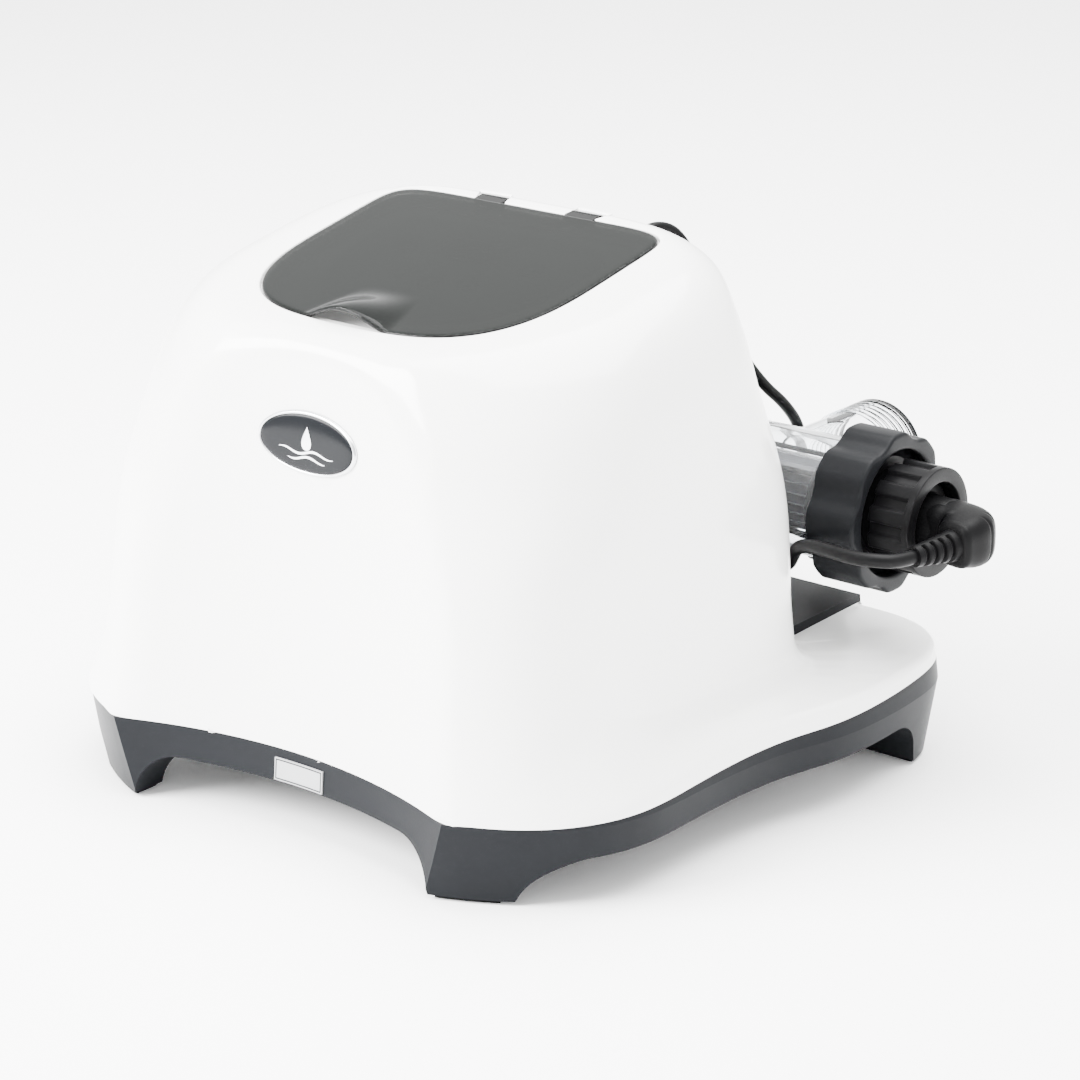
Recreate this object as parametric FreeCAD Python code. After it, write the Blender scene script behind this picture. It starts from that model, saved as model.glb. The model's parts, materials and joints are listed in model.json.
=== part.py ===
import FreeCAD, Part
import math
import os

# Salt chlorine generator for a pool: a white moulded housing with a smoked lid over its
# keypad, on a dark base tray with four feet, and a clear cell vessel across the back.
# Millimetres. +Z is up, +Y points to the back, X = 0 is the plane of symmetry and Z = 0
# is the ground under the feet. Y = 0 is midway between the front and the hose ports' ends.

V = FreeCAD.Vector
ALONG_X = V(1, 0, 0)
ALONG_Y = V(0, 1, 0)
ALONG_Z = V(0, 0, 1)

# ---- overall sizes ---------------------------------------------------------------------
WIDTH = 426.0                # across the widest part of the tray
DOME_TOP = 289.5             # height of the lid plane over the middle of the dome
WALL = 3.0                   # moulded walls
CLEAR = 0.3                  # gap between pieces that are pushed together

# ---- housing: one row per height of the dome -------------------------------------------
# (share of the height, slope of the section, half width at the front, half width at the
#  back, front, back, squareness of the front, squareness of the back)
DOME_FOOT = 44.0
DOME_ROWS = [
    (0.000, 0.00, 200.0, 174.0, -215.0, 74.0, 2.95, 6.5),
    (0.126, 0.00, 179.0, 166.0, -209.5, 74.0, 3.40, 6.5),
    (0.269, 0.00, 169.0, 165.0, -205.0, 72.0, 3.70, 6.0),
    (0.534, 0.03, 167.0, 166.0, -195.0, 67.0, 3.50, 4.8),
    (0.717, 0.08, 163.0, 162.0, -189.5, 62.0, 2.80, 3.5),
    (0.819, 0.12, 159.0, 159.0, -188.5, 57.0, 2.40, 3.2),
    (0.888, 0.16, 154.0, 154.0, -186.5, 50.0, 2.15, 3.2),
    (0.945, 0.19, 143.0, 143.0, -182.0, 41.0, 2.05, 3.6),
    (0.982, 0.20, 124.0, 124.0, -176.0, 30.0, 2.00, 4.2),
    (1.000, 0.20, 102.0, 102.0, -156.0, 22.0, 2.20, 6.0),
]
WAIST_START, WAIST_END = -148.0, -68.0   # where the half width goes from front to back
SECTION_POINTS = 48

# ---- housing: plan of the tray and of the shelf around the dome ------------------------
PLAN_HALF = [
    (0.0, -224.0), (70.0, -219.0), (119.0, -205.0), (153.0, -186.0), (177.0, -165.0),
    (190.5, -137.0), (194.0, -95.0), (195.5, -50.0), (201.0, -14.0), (209.0, 15.0),
    (213.0, 55.0), (211.0, 95.0), (202.0, 128.0), (178.0, 149.0), (135.0, 155.0), (0.0, 155.0),
]
PLAN_HALF_WIDTH = 213.0
SEAM_FRONT, SEAM_SLOPE = 45.0, 0.0375    # the seam rises towards the back
SHELF_PROFILE = [(-230, 40), (-200, 44), (-172, 52), (-148, 62), (-122, 69), (-85, 70),
                 (-18, 65), (75, 66), (170, 68)]
FLANGE_DRAFT = 0.12          # slope of the shelf's outer wall
TRAY_DRAFT = 0.15            # slope of the tray's outer wall

# ---- concave front panel ---------------------------------------------------------------
PANEL_RADIUS = 315.0
PANEL_FOOT_Y = -183.0        # middle of the panel at the foot of the dome
PANEL_LEAN = math.radians(4.4)

# ---- rear deck -------------------------------------------------------------------------
DECK_HALF_WIDTH = 133.0
DECK_TOP = 72.0

# ---- tray: feet and arches -------------------------------------------------------------
FRONT_FOOT_X, REAR_FOOT_X = 113.0, 162.0     # inner edges of the feet
FRONT_FOOT_Y, REAR_FOOT_Y = -190.0, 118.0    # ends of the side arch, below the ground
FRONT_ARCH_TOP, REAR_ARCH_TOP = 27.0, 32.0
ARCH_RADIUS = 26.0
PAD_THICKNESS = 2.0
PAD_MARGIN = 2.0              # from a foot's edge to its pad
POST_XY = [(183.0, -70.0), (190.0, 42.0)]    # housing screw posts, each on both sides
POST_RADIUS = 5.0
SCREW_RADIUS = 2.0
SCREW_HEAD_RADIUS = 4.0
SCREW_END = 57.5

# ---- lid plane: v runs back along the slope and w is square to it ----------------------
LID_RISE = 0.20               # slope of the lid plane and of the dome's top
LID_REAR_Y = 15.0
LID_REAR_Z = DOME_TOP + LID_RISE * (LID_REAR_Y + 67.0) + CLEAR
LID_SLOPE = math.degrees(math.atan(LID_RISE))
LID_HALF_WIDTH = 96.0
LID_MIDDLE_V = -62.0
LID_FRONT, LID_REAR = 98.5, 62.0             # from the middle to each end
LID_SQUARE_FRONT, LID_SQUARE_REAR = 3.0, 8.0
LID_THICKNESS = 3.0
LID_GAP = 1.0
LIFT_HALF_WIDTH, LIFT_LENGTH, LIFT_HEIGHT = 30.0, 42.0, 9.0
HINGE_X = [(-42.0, -22.0), (22.0, 42.0)]
HINGE_V, HINGE_W = 6.0, -3.5
HINGE_PIN_RADIUS = 1.5
KNUCKLE_RADIUS = HINGE_PIN_RADIUS + 1.9
PIN_CLEAR = 0.05
PIN_GRIP = 4.0                # length of pin held in the housing at each end
SLOT_EXTRA = 1.5

# ---- control panel ---------------------------------------------------------------------
RECESS_DEPTH = 8.0
RECESS_LEDGE = 6.0
FASCIA_HALF_WIDTH = 73.5
FASCIA_MIDDLE_V = -56.0
FASCIA_FRONT, FASCIA_REAR = 79.5, 35.0
FASCIA_THICKNESS = 2.5
CAP_RADIUS = 6.5
CAP_RISE = 1.0
BUTTON_TRAVEL = 0.8
BUTTON_FLANGE = 1.2
BUTTONS = [("power", -44.0, -58.0), ("boost", -22.0, -86.0), ("timer", 0.0, -92.0),
           ("clean", 22.0, -86.0), ("lock", 44.0, -58.0)]
DISPLAY_SIZE = (44.0, 20.0)
DISPLAY_V = -50.0
LED_X = [-30.0, -15.0, 0.0, 15.0, 30.0]
LED_V = -69.0
LED_RADIUS = 1.5
BOARD_W = -22.0
BOARD_THICKNESS = 1.6
BOARD_HALF = (64.0, 38.0)
BOARD_V = -65.0
BOARD_SCREW_INSET = 5.0
SWITCH_HEIGHT = 5.0

# ---- power supply inside the housing ---------------------------------------------------
FLOOR_Z = 40.0                # top of the floor plate
TRANSFORMER = V(0.0, 10.0, FLOOR_Z)

# ---- cell vessel -----------------------------------------------------------------------
VESSEL_Y, VESSEL_Z = 112.0, DECK_TOP + 70.0
TUBE_RADIUS = 35.0
TUBE_WALL = 3.0
TUBE_END = 162.0
PORT_X = 107.0
PORT_RADIUS = 30.0            # over the thread
PORT_NECK_RADIUS = PORT_RADIUS - 1.3
ARROW_RAISE = 0.5
PORT_WALL = 3.5
PORT_END = 205.5
THREAD_LENGTH, THREAD_PITCH, THREAD_DEPTH = 24.0, 4.8, 1.3
THREAD_LEAD_IN = 3.0
RIM_THICKNESS = 2.0
COLLAR_START, COLLAR_END = 150.0, 182.0
COLLAR_RADIUS = TUBE_RADIUS + 11.0
COLLAR_MOUTH = TUBE_RADIUS + 1.0
COLLAR_LIP = TUBE_RADIUS - 3.5
COLLAR_LOBES = 8
SCALLOP_RADIUS, SCALLOP_DEPTH = 26.0, 3.0
CAP_FLANGE_RADIUS = TUBE_RADIUS - 1.5
CAP_FLANGE_THICKNESS = 3.0
CAP_NECK_RADIUS = TUBE_RADIUS - 4.0
BOSS_RADIUS = 25.5
BOSS_END = 196.0
RING_START, RING_END = 181.5, 208.0
RING_RADIUS = 31.0
RING_MOUTH = 23.0
RING_LUGS = 12
CELL_RADIUS = TUBE_RADIUS - TUBE_WALL - 5.0
PLATE_COUNT = 7
PLATE_PITCH = 5.5
PLATE_THICKNESS = 1.0
PLATE_LENGTH = 150.0
SADDLE_X = 48.0
SADDLE_WIDTH = 16.0

# ---- plug, leads and their glands ------------------------------------------------------
PLUG_X = 230.0
PLUG_Z = VESSEL_Z - 3.0
PLUG_BARREL_RADIUS = 15.0
RELIEF_START, RELIEF_LENGTH = 92.0, 30.0
RELIEF_AIM = V(-0.20, -0.98, 0.0).normalize()
LEAD_RADIUS = 3.9
SENSOR_LEAD_RADIUS = 3.3
CELL_GLAND, CELL_GLAND_AIM = V(74.0, 72.5, 97.0), V(0.50, 0.866, 0.0)
MAINS_GLAND, MAINS_GLAND_AIM = V(-112.0, 71.5, 99.0), V(0.0, 1.0, 0.0)
SENSOR_GLAND, SENSOR_GLAND_AIM = V(28.0, 54.5, DOME_TOP - 20.5), V(0.10, 0.74, 0.66)
GLAND_RADIUS = 8.0
GLAND_LENGTH = 14.0
SENSOR_Y = 160.0
SENSOR_RADIUS = 10.0
SENSOR_NUT_RADIUS = 13.0
SENSOR_TAIL_Z = 88.5

RELIEF_END = V(PLUG_X, RELIEF_START, PLUG_Z) + RELIEF_AIM * RELIEF_LENGTH
CELL_LEAD_ROUTE = [
    RELIEF_END, RELIEF_END + RELIEF_AIM * 12.0, V(213.5, 42.5, 140.0), V(201.0, 40.0, 139.5),
    V(182.0, 44.0, 138.5), V(163.0, 52.0, 135.5), V(148.0, 63.0, 128.0), V(137.0, 75.0, 117.0),
    V(124.0, 90.0, 105.0), V(108.0, 100.0, 99.0), V(96.0, 101.5, 97.0),
    CELL_GLAND + CELL_GLAND_AIM * (GLAND_LENGTH + 11.0), CELL_GLAND + CELL_GLAND_AIM * GLAND_LENGTH,
]
SENSOR_LEAD_ROUTE = [
    SENSOR_GLAND + SENSOR_GLAND_AIM * GLAND_LENGTH,
    SENSOR_GLAND + SENSOR_GLAND_AIM * (GLAND_LENGTH + 10.0),
    SENSOR_GLAND + V(4.2, 27.2, 18.6), SENSOR_GLAND + V(6.7, 36.8, 17.2),
    SENSOR_GLAND + V(9.4, 44.7, 11.7), SENSOR_GLAND + V(14.5, 53.3, -4.0),
    SENSOR_GLAND + V(21.5, 62.0, -28.0), V(57.5, 128.5, 212.0), V(65.0, 146.0, 187.0),
    V(69.5, 162.0, 173.0), V(70.0, 178.0, 155.0), V(69.0, 184.0, 132.0), V(68.0, 180.0, 111.0),
    V(70.0, 169.0, 96.0), V(79.0, SENSOR_Y, SENSOR_TAIL_Z),
    V(PORT_X - SENSOR_RADIUS - 4.0, SENSOR_Y, SENSOR_TAIL_Z),
]


# ---- helpers ---------------------------------------------------------------------------
def joined(shapes):
    """One solid made of touching or overlapping solids."""
    first = shapes[0]
    if len(shapes) > 1:
        first = first.fuse(shapes[1:])
    return first.removeSplitter()


def group(shapes):
    """Several separate solids kept together as one node."""
    return Part.makeCompound(shapes)


def box(low, high):
    """A box between two corners."""
    size = high - low
    return Part.makeBox(size.x, size.y, size.z, low)


def rod(radius, start, end):
    """A round bar from one point to another."""
    return Part.makeCylinder(radius, (end - start).Length, start, end - start)


def ring(outer, inner, start, end):
    """A round tube from one point to another."""
    return rod(outer, start, end).cut(rod(inner, start, end))


def mirrored(shape):
    """The same shape on the other side of X = 0."""
    return shape.mirror(V(0, 0, 0), ALONG_X)


def closed_spline(points):
    """A smooth closed wire through the points."""
    curve = Part.BSplineCurve()
    curve.interpolate(points, PeriodicFlag=True)
    return Part.Wire([curve.toShape()])


def signed_power(value, exponent):
    return math.copysign(abs(value) ** exponent, value)


def smooth_step(value):
    value = min(max(value, 0.0), 1.0)
    return value * value * (3.0 - 2.0 * value)


def egg_wire(half_width, middle, front, rear, square_front, square_rear, height):
    """A closed plan outline, with its own squareness in front of and behind its middle."""
    points = []
    for i in range(SECTION_POINTS):
        angle = 2.0 * math.pi * (i + 0.5) / SECTION_POINTS
        reach = rear if math.sin(angle) > 0 else front
        power = 2.0 / (square_rear if math.sin(angle) > 0 else square_front)
        x = half_width * signed_power(math.cos(angle), power)
        points.append(V(x, middle + reach * signed_power(math.sin(angle), power), height))
    return closed_spline(points)


def egg_plate(half_width, middle, front, rear, square_front, square_rear, bottom, top):
    """A plate with that outline."""
    wire = egg_wire(half_width, middle, front, rear, square_front, square_rear, bottom)
    return Part.Face(wire).extrude(V(0, 0, top - bottom))


def on_lid_plane(shape):
    """Moves a shape from (x, v, w) on the lid plane to its place on the housing."""
    shape = shape.copy()
    shape.rotate(V(0, 0, 0), ALONG_X, LID_SLOPE)
    shape.translate(V(0, LID_REAR_Y, LID_REAR_Z))
    return shape


def below_seam(lift=0.0):
    """A slab that fills everything under the seam between the tray and the housing."""
    slab = Part.makeBox(600, 600, 200, V(-300, -300, -200))
    slab.rotate(V(0, 0, 0), ALONG_X, math.degrees(math.atan(SEAM_SLOPE)))
    slab.translate(V(0, 0, SEAM_FRONT + lift - SEAM_SLOPE * PLAN_HALF[2][1]))
    return slab


def rounded_wire(points, radius):
    """A closed wire of straight sides whose corners are arcs."""
    count = len(points)
    starts, arcs, ends = [], [], []
    for i in range(count):
        corner = points[i]
        before = (points[i - 1] - corner).normalize()
        after = (points[(i + 1) % count] - corner).normalize()
        half = math.acos(max(-1.0, min(1.0, before.dot(after)))) / 2.0
        back = radius / math.tan(half)
        middle = corner + (before + after).normalize() * (radius / math.sin(half) - radius)
        starts.append(corner + before * back)
        ends.append(corner + after * back)
        arcs.append(Part.Arc(starts[i], middle, ends[i]).toShape())
    edges = []
    for i in range(count):
        edges.append(arcs[i])
        edges.append(Part.LineSegment(ends[i], starts[(i + 1) % count]).toShape())
    return Part.Wire(edges)


# ---- housing ---------------------------------------------------------------------------
def dome_section(row, inset):
    """One closed section of the dome, which leans with the top as it rises."""
    share, slope, wide_front, wide_rear, front, rear, square_front, square_rear = row
    height = DOME_FOOT + share * (DOME_TOP - DOME_FOOT)
    middle = (front + rear) / 2.0
    reach = (rear - front) / 2.0 - inset
    points = []
    for i in range(SECTION_POINTS):
        angle = 2.0 * math.pi * (i + 0.5) / SECTION_POINTS
        power = 2.0 / (square_rear if math.sin(angle) > 0 else square_front)
        y = middle + reach * signed_power(math.sin(angle), power)
        step = smooth_step((y - WAIST_START) / (WAIST_END - WAIST_START))
        half = (wide_front + (wide_rear - wide_front) * step) * WIDTH / 426.0 - inset
        x = half * signed_power(math.cos(angle), power)
        points.append(V(x, y, height + slope * (y - middle)))
    return closed_spline(points)


def dome(inset):
    """The dome as a solid, with every wall moved in by the inset."""
    return Part.makeLoft([dome_section(row, inset) for row in DOME_ROWS], True, False)


def plan_wire(inset, height):
    """The plan outline moved in by the inset, at one height."""
    half = [V(x * WIDTH / (2.0 * PLAN_HALF_WIDTH), y, 0) for x, y in PLAN_HALF]
    loop = half + [V(-p.x, p.y, 0) for p in reversed(half[1:-1])]
    points = []
    for i, point in enumerate(loop):
        along = loop[(i + 1) % len(loop)] - loop[i - 1]
        inwards = V(-along.y, along.x, 0).normalize()
        points.append(point + inwards * inset + V(0, 0, height))
    return closed_spline(points)


def flange_block(inset, drop):
    """The shelf around the dome as a solid, from below the seam to its top."""
    low, high = 30.0, 125.0
    wires = []
    for height in (low, high):
        wires.append(plan_wire(inset + FLANGE_DRAFT * (height - SEAM_FRONT), height))
    block = Part.makeLoft(wires, True, True)
    curve = Part.BSplineCurve()
    curve.interpolate([V(-300, y, z - drop) for y, z in SHELF_PROFILE])
    first, last = curve.StartPoint, curve.EndPoint
    roof = [curve.toShape(), Part.LineSegment(last, V(-300, last.y, 200)).toShape(),
            Part.LineSegment(V(-300, last.y, 200), V(-300, first.y, 200)).toShape(),
            Part.LineSegment(V(-300, first.y, 200), first).toShape()]
    return block.cut(Part.Face(Part.Wire(roof)).extrude(V(600, 0, 0)))


def panel_cutter(inset):
    """The big leaning cylinder that hollows the front panel."""
    lean = V(0, math.sin(PANEL_LEAN), math.cos(PANEL_LEAN))
    foot = V(0, PANEL_FOOT_Y - PANEL_RADIUS / math.cos(PANEL_LEAN), DOME_FOOT)
    return Part.makeCylinder(PANEL_RADIUS + inset, 500.0, foot - lean * 150.0, lean)


def deck_box(grow, top):
    """The space of the rear deck, behind the dome."""
    half = DECK_HALF_WIDTH + grow
    return box(V(-half, 40.0 - grow, 20.0), V(half, 200.0, top))


def lid_pocket(grow, depth):
    """A pocket with the lid's outline, open at the top."""
    plate = egg_plate(LID_HALF_WIDTH + grow, LID_MIDDLE_V, LID_FRONT + grow, LID_REAR + grow,
                      LID_SQUARE_FRONT, LID_SQUARE_REAR, -depth, 20.0)
    return on_lid_plane(plate)


def hinge_slots(grow):
    """The slots behind the lid that its knuckles turn in."""
    slots = []
    for left, right in HINGE_X:
        low = V(left - grow, -8.0, HINGE_W - KNUCKLE_RADIUS - grow)
        back = HINGE_V + KNUCKLE_RADIUS + grow + SLOT_EXTRA
        slots.append(on_lid_plane(box(low, V(right + grow, back, 20.0))))
        slots.append(hinge_pin(left, right))
    return slots


def housing_posts():
    """Screw posts that hang from the shelf to the seam, as (x, y) places."""
    places = []
    for x, y in POST_XY:
        places += [(x, y), (-x, y)]
    return places


def fascia_window():
    """The opening in the recess floor for the keys and the display."""
    low = V(-56.0, -106.0, -RECESS_DEPTH - 10.0)
    return on_lid_plane(box(low, V(56.0, -34.0, 0.0)))


def shelf_height(y):
    """Height of the shelf's top at one place along its length."""
    for (y0, z0), (y1, z1) in zip(SHELF_PROFILE, SHELF_PROFILE[1:]):
        if y0 <= y <= y1:
            return z0 + (z1 - z0) * (y - y0) / (y1 - y0)
    return SHELF_PROFILE[-1][1]


def shell_posts():
    """Screw posts under the shelf and studs under the recess floor for the control board."""
    posts = []
    for x, y in housing_posts():
        top = shelf_height(y) - WALL / 2.0
        post = rod(POST_RADIUS, V(x, y, 30.0), V(x, y, top)).cut(below_seam())
        posts.append(post.cut(rod(SCREW_RADIUS, V(x, y, 20.0), V(x, y, SCREW_END + 0.5))))
    for x, v in board_corners():
        stud = rod(3.5, V(x, v, BOARD_W), V(x, v, -RECESS_DEPTH - WALL / 2.0))
        hole = rod(1.2, V(x, v, BOARD_W - 1.0), V(x, v, -RECESS_DEPTH - WALL - 1.0))
        posts.append(on_lid_plane(stud.cut(hole)))
    return posts


def board_corners():
    """The (x, v) places of the control board's four screws."""
    wide, deep = BOARD_HALF[0] - BOARD_SCREW_INSET, BOARD_HALF[1] - BOARD_SCREW_INSET
    return [(x, BOARD_V + v) for x in (-wide, wide) for v in (-deep, deep)]


def housing_shell():
    """The white housing: dome, shelf, lid recess and screw posts in one moulding."""
    outer = dome(0.0).fuse(flange_block(0.0, 0.0).cut(deck_box(0.0, 200.0)))
    outer = outer.cut(panel_cutter(0.0)).cut(below_seam())
    above_floor = on_lid_plane(box(V(-300, -300, -RECESS_DEPTH - WALL), V(300, 200, 200)))
    hollow = dome(WALL + 1.0).cut(above_floor)
    hollow = hollow.fuse(flange_block(WALL, WALL).cut(deck_box(WALL, 200.0)))
    shell = outer.cut(hollow.cut(panel_cutter(WALL)))
    cutters = [lid_pocket(LID_GAP, LID_THICKNESS + 0.2), lid_pocket(-RECESS_LEDGE, RECESS_DEPTH),
               fascia_window()]
    for cutter in cutters + hinge_slots(0.5) + gland_holes():
        shell = shell.cut(cutter)
    return shell.fuse(shell_posts())


def gland_holes():
    """Round holes in the dome for the three cord glands."""
    radius = GLAND_RADIUS - 2.5 + CLEAR
    holes = []
    for place, aim in ((CELL_GLAND, CELL_GLAND_AIM), (MAINS_GLAND, MAINS_GLAND_AIM),
                       (SENSOR_GLAND, SENSOR_GLAND_AIM)):
        holes.append(rod(radius, place - aim * 30.0, place + aim * 10.0))
    return holes


# ---- tray ------------------------------------------------------------------------------
def undercut(lift, shrink):
    """The space under the tray between its feet."""
    front, rear = FRONT_ARCH_TOP + lift, REAR_ARCH_TOP + lift
    side = [V(-300, FRONT_FOOT_Y + shrink, -40), V(-300, FRONT_FOOT_Y + shrink + 12.0, front),
            V(-300, REAR_FOOT_Y - shrink - 26.0, rear), V(-300, REAR_FOOT_Y - shrink, -40)]
    across = Part.Face(rounded_wire(side, ARCH_RADIUS)).extrude(V(600, 0, 0))
    pieces = [across]
    spans = ((FRONT_FOOT_X, -300.0, 120.0 - 178.0, front), (REAR_FOOT_X, 0.0, 300.0, rear))
    for half, start, end, top in spans:
        half = half - shrink
        arch = [V(-half, start, -40), V(-half + 12.0, start, top),
                V(half - 12.0, start, top), V(half, start, -40)]
        pieces.append(Part.Face(rounded_wire(arch, ARCH_RADIUS)).extrude(V(0, end - start, 0)))
    return pieces


def tray_block(inset, lift):
    """The tray's outside, moved in by the inset and cut between the feet."""
    foot = PAD_THICKNESS + lift
    wires = [plan_wire(inset + TRAY_DRAFT * (SEAM_FRONT - foot), foot), plan_wire(inset, SEAM_FRONT),
             plan_wire(inset + FLANGE_DRAFT * (64.0 - SEAM_FRONT), 64.0)]
    block = Part.makeLoft(wires, True, True).cut(panel_cutter(inset))
    return block.cut(undercut(lift, -lift))


def base_tray():
    """The dark tray: skirt, floor and four hollow feet, with a screw hole under each post."""
    tray = tray_block(0.0, 0.0).cut(tray_block(WALL, WALL))
    tray = tray.common(below_seam())
    for x, y in housing_posts():
        tray = tray.cut(rod(SCREW_RADIUS + CLEAR, V(x, y, 0.0), V(x, y, 60.0)))
    return tray


def foot_pads():
    """A rubber pad under each foot."""
    slab = box(V(-300, -300, 0), V(300, 300, PAD_THICKNESS))
    inset = TRAY_DRAFT * SEAM_FRONT + PAD_MARGIN
    plan = Part.makeLoft([plan_wire(inset, -1.0), plan_wire(inset, 6.0)], True, True)
    feet = slab.common(plan).cut(panel_cutter(PAD_MARGIN)).cut(undercut(0.0, -PAD_MARGIN))
    return group([foot for foot in feet.Solids])


def base_screws(tray):
    """Screws up through the tray's floor into the posts."""
    screws = []
    for x, y in housing_posts():
        probe = rod(SCREW_HEAD_RADIUS, V(x, y, PAD_THICKNESS + 1.0), V(x, y, 60.0))
        under = tray.common(probe).BoundBox.ZMin
        head = rod(SCREW_HEAD_RADIUS, V(x, y, under - 2.5), V(x, y, under))
        shank = rod(SCREW_RADIUS, V(x, y, under - 1.0), V(x, y, SCREW_END))
        screws.append(joined([head, shank]))
    return group(screws)


def rear_deck():
    """The dark cover of the shelf behind the dome, which carries the vessel."""
    tall = Part.makeLoft([plan_wire(FLANGE_DRAFT * (h - SEAM_FRONT), h) for h in (30.0, 125.0)],
                         True, True)
    inner = Part.makeLoft([plan_wire(WALL + FLANGE_DRAFT * (h - SEAM_FRONT), h)
                           for h in (30.0, 125.0)], True, True)
    body = deck_box(-CLEAR, DECK_TOP).common(tall).cut(dome(-CLEAR)).cut(below_seam())
    hollow = deck_box(-CLEAR - WALL, DECK_TOP - WALL).common(inner).cut(dome(-CLEAR - WALL))
    deck = body.cut(hollow)
    for x, y in saddle_screw_places():
        deck = deck.cut(rod(SCREW_RADIUS, V(x, y, DECK_TOP - WALL - 1.0), V(x, y, DECK_TOP + 1.0)))
    return deck


def saddle_screw_places():
    """The (x, y) places of the screws through the cradles' feet."""
    return [(x, VESSEL_Y + out) for x in (-SADDLE_X, SADDLE_X) for out in (-29.0, 29.0)]


# ---- badge and label -------------------------------------------------------------------
def panel_point(height):
    """The middle of the concave panel at one height."""
    return V(0, PANEL_FOOT_Y + (height - DOME_FOOT) * math.tan(PANEL_LEAN), height)


def on_panel(half_long, half_high, height, lift_from, lift_to):
    """An oval slab that follows the concave panel, between two lifts off its surface."""
    ellipse = Part.Wire([Part.Ellipse(V(0, 0, 0), half_long, half_high).toShape()])
    oval = Part.Face(ellipse).extrude(V(0, 0, 120.0))
    oval.rotate(V(0, 0, 0), ALONG_X, 90.0)
    oval.translate(panel_point(height) + V(0, 60.0, 0))
    return oval.common(panel_cutter(-lift_from)).cut(panel_cutter(-lift_to))


def badge():
    return on_panel(32.5, 15.0, 216.0, 0.0, 3.0)


def badge_ring():
    ring_slab = on_panel(34.5, 17.0, 216.0, 0.0, 2.0)
    return ring_slab.cut(on_panel(32.5, 15.0, 216.0, -5.0, 9.0))


def rating_label():
    """A blank plate on the front of the tray."""
    plate = box(V(-17.0, -260.0, 28.0), V(17.0, -100.0, 40.5))
    return plate.common(panel_cutter(0.0)).cut(panel_cutter(-1.0))


# ---- lid -------------------------------------------------------------------------------
def lift_wave():
    """The raised finger lift in the middle of the lid's front edge."""
    front = LID_MIDDLE_V - LID_FRONT
    sections = []
    for back, rise in ((-1.0, 1.0), (LIFT_LENGTH * 0.45, 0.62), (LIFT_LENGTH, 0.02)):
        half = LIFT_HALF_WIDTH * (1.0 - 0.35 * back / LIFT_LENGTH)
        height = LIFT_HEIGHT * rise
        v = front + back
        top = Part.BSplineCurve()
        top.interpolate([V(-half, v, -0.5), V(-half * 0.55, v, height * 0.55), V(0, v, height),
                         V(half * 0.55, v, height * 0.55), V(half, v, -0.5)])
        base = Part.LineSegment(V(half, v, -0.5), V(-half, v, -0.5))
        sections.append(Part.Wire([top.toShape(), base.toShape()]))
    return Part.makeLoft(sections, True, False)


def lid():
    """The smoked lid with its finger lift and its two hinge knuckles."""
    plate = egg_plate(LID_HALF_WIDTH, LID_MIDDLE_V, LID_FRONT, LID_REAR, LID_SQUARE_FRONT,
                      LID_SQUARE_REAR, -LID_THICKNESS, 0.0)
    outline = egg_plate(LID_HALF_WIDTH, LID_MIDDLE_V, LID_FRONT, LID_REAR, LID_SQUARE_FRONT,
                        LID_SQUARE_REAR, -LID_THICKNESS, 30.0)
    wave = lift_wave().common(outline)
    hollow = lift_wave()
    hollow.translate(V(0, 0, -LID_THICKNESS + 0.5))
    pieces = [plate, wave]
    for left, right in HINGE_X:
        pieces.append(rod(KNUCKLE_RADIUS, V(left, HINGE_V, HINGE_W), V(right, HINGE_V, HINGE_W)))
        pieces.append(box(V(left, -6.0, -LID_THICKNESS), V(right, HINGE_V, 0.0)))
    body = joined(pieces).cut(hollow)
    for left, right in HINGE_X:
        bore = rod(HINGE_PIN_RADIUS + PIN_CLEAR, V(left - 1, HINGE_V, HINGE_W),
                   V(right + 1, HINGE_V, HINGE_W))
        body = body.cut(bore)
    return on_lid_plane(body)


def hinge_pin(left, right):
    """A pin through one knuckle, held in the housing at both ends."""
    return on_lid_plane(rod(HINGE_PIN_RADIUS, V(left - PIN_GRIP, HINGE_V, HINGE_W),
                            V(right + PIN_GRIP, HINGE_V, HINGE_W)))


def hinge_pins():
    """The two pins that the lid turns on."""
    return group([hinge_pin(left, right) for left, right in HINGE_X])


# ---- control panel ---------------------------------------------------------------------
def fascia():
    """The grey control panel in the recess, with openings for its keys and display."""
    top = -RECESS_DEPTH + FASCIA_THICKNESS
    plate = egg_plate(FASCIA_HALF_WIDTH, FASCIA_MIDDLE_V, FASCIA_FRONT, FASCIA_REAR,
                      2.35, 5.0, -RECESS_DEPTH, top)
    for name, x, v in BUTTONS:
        plate = plate.cut(rod(CAP_RADIUS + CLEAR, V(x, v, -20.0), V(x, v, 0.0)))
    wide, deep = DISPLAY_SIZE
    plate = plate.cut(box(V(-wide / 2, DISPLAY_V - deep / 2, -20.0),
                          V(wide / 2, DISPLAY_V + deep / 2, 0.0)))
    for x in LED_X:
        plate = plate.cut(rod(LED_RADIUS + 0.1, V(x, LED_V, -20.0), V(x, LED_V, 0.0)))
    return on_lid_plane(plate)


def button(x, v):
    """One key: a crowned cap, a flange that stops it and a stem down to its switch."""
    top = -RECESS_DEPTH + FASCIA_THICKNESS + CAP_RISE
    cap = rod(CAP_RADIUS, V(x, v, -RECESS_DEPTH - BUTTON_FLANGE), V(x, v, top))
    cap = cap.makeFillet(0.5, [edge for edge in cap.Edges if edge.BoundBox.ZMin > top - 0.1])
    flange = rod(CAP_RADIUS + 1.5, V(x, v, -RECESS_DEPTH - BUTTON_FLANGE),
                 V(x, v, -RECESS_DEPTH - 0.05))
    foot = BOARD_W + SWITCH_HEIGHT + BUTTON_TRAVEL + 0.1
    stem = rod(2.0, V(x, v, foot), V(x, v, -RECESS_DEPTH - 0.5))
    return on_lid_plane(joined([cap, flange, stem]))


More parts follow.
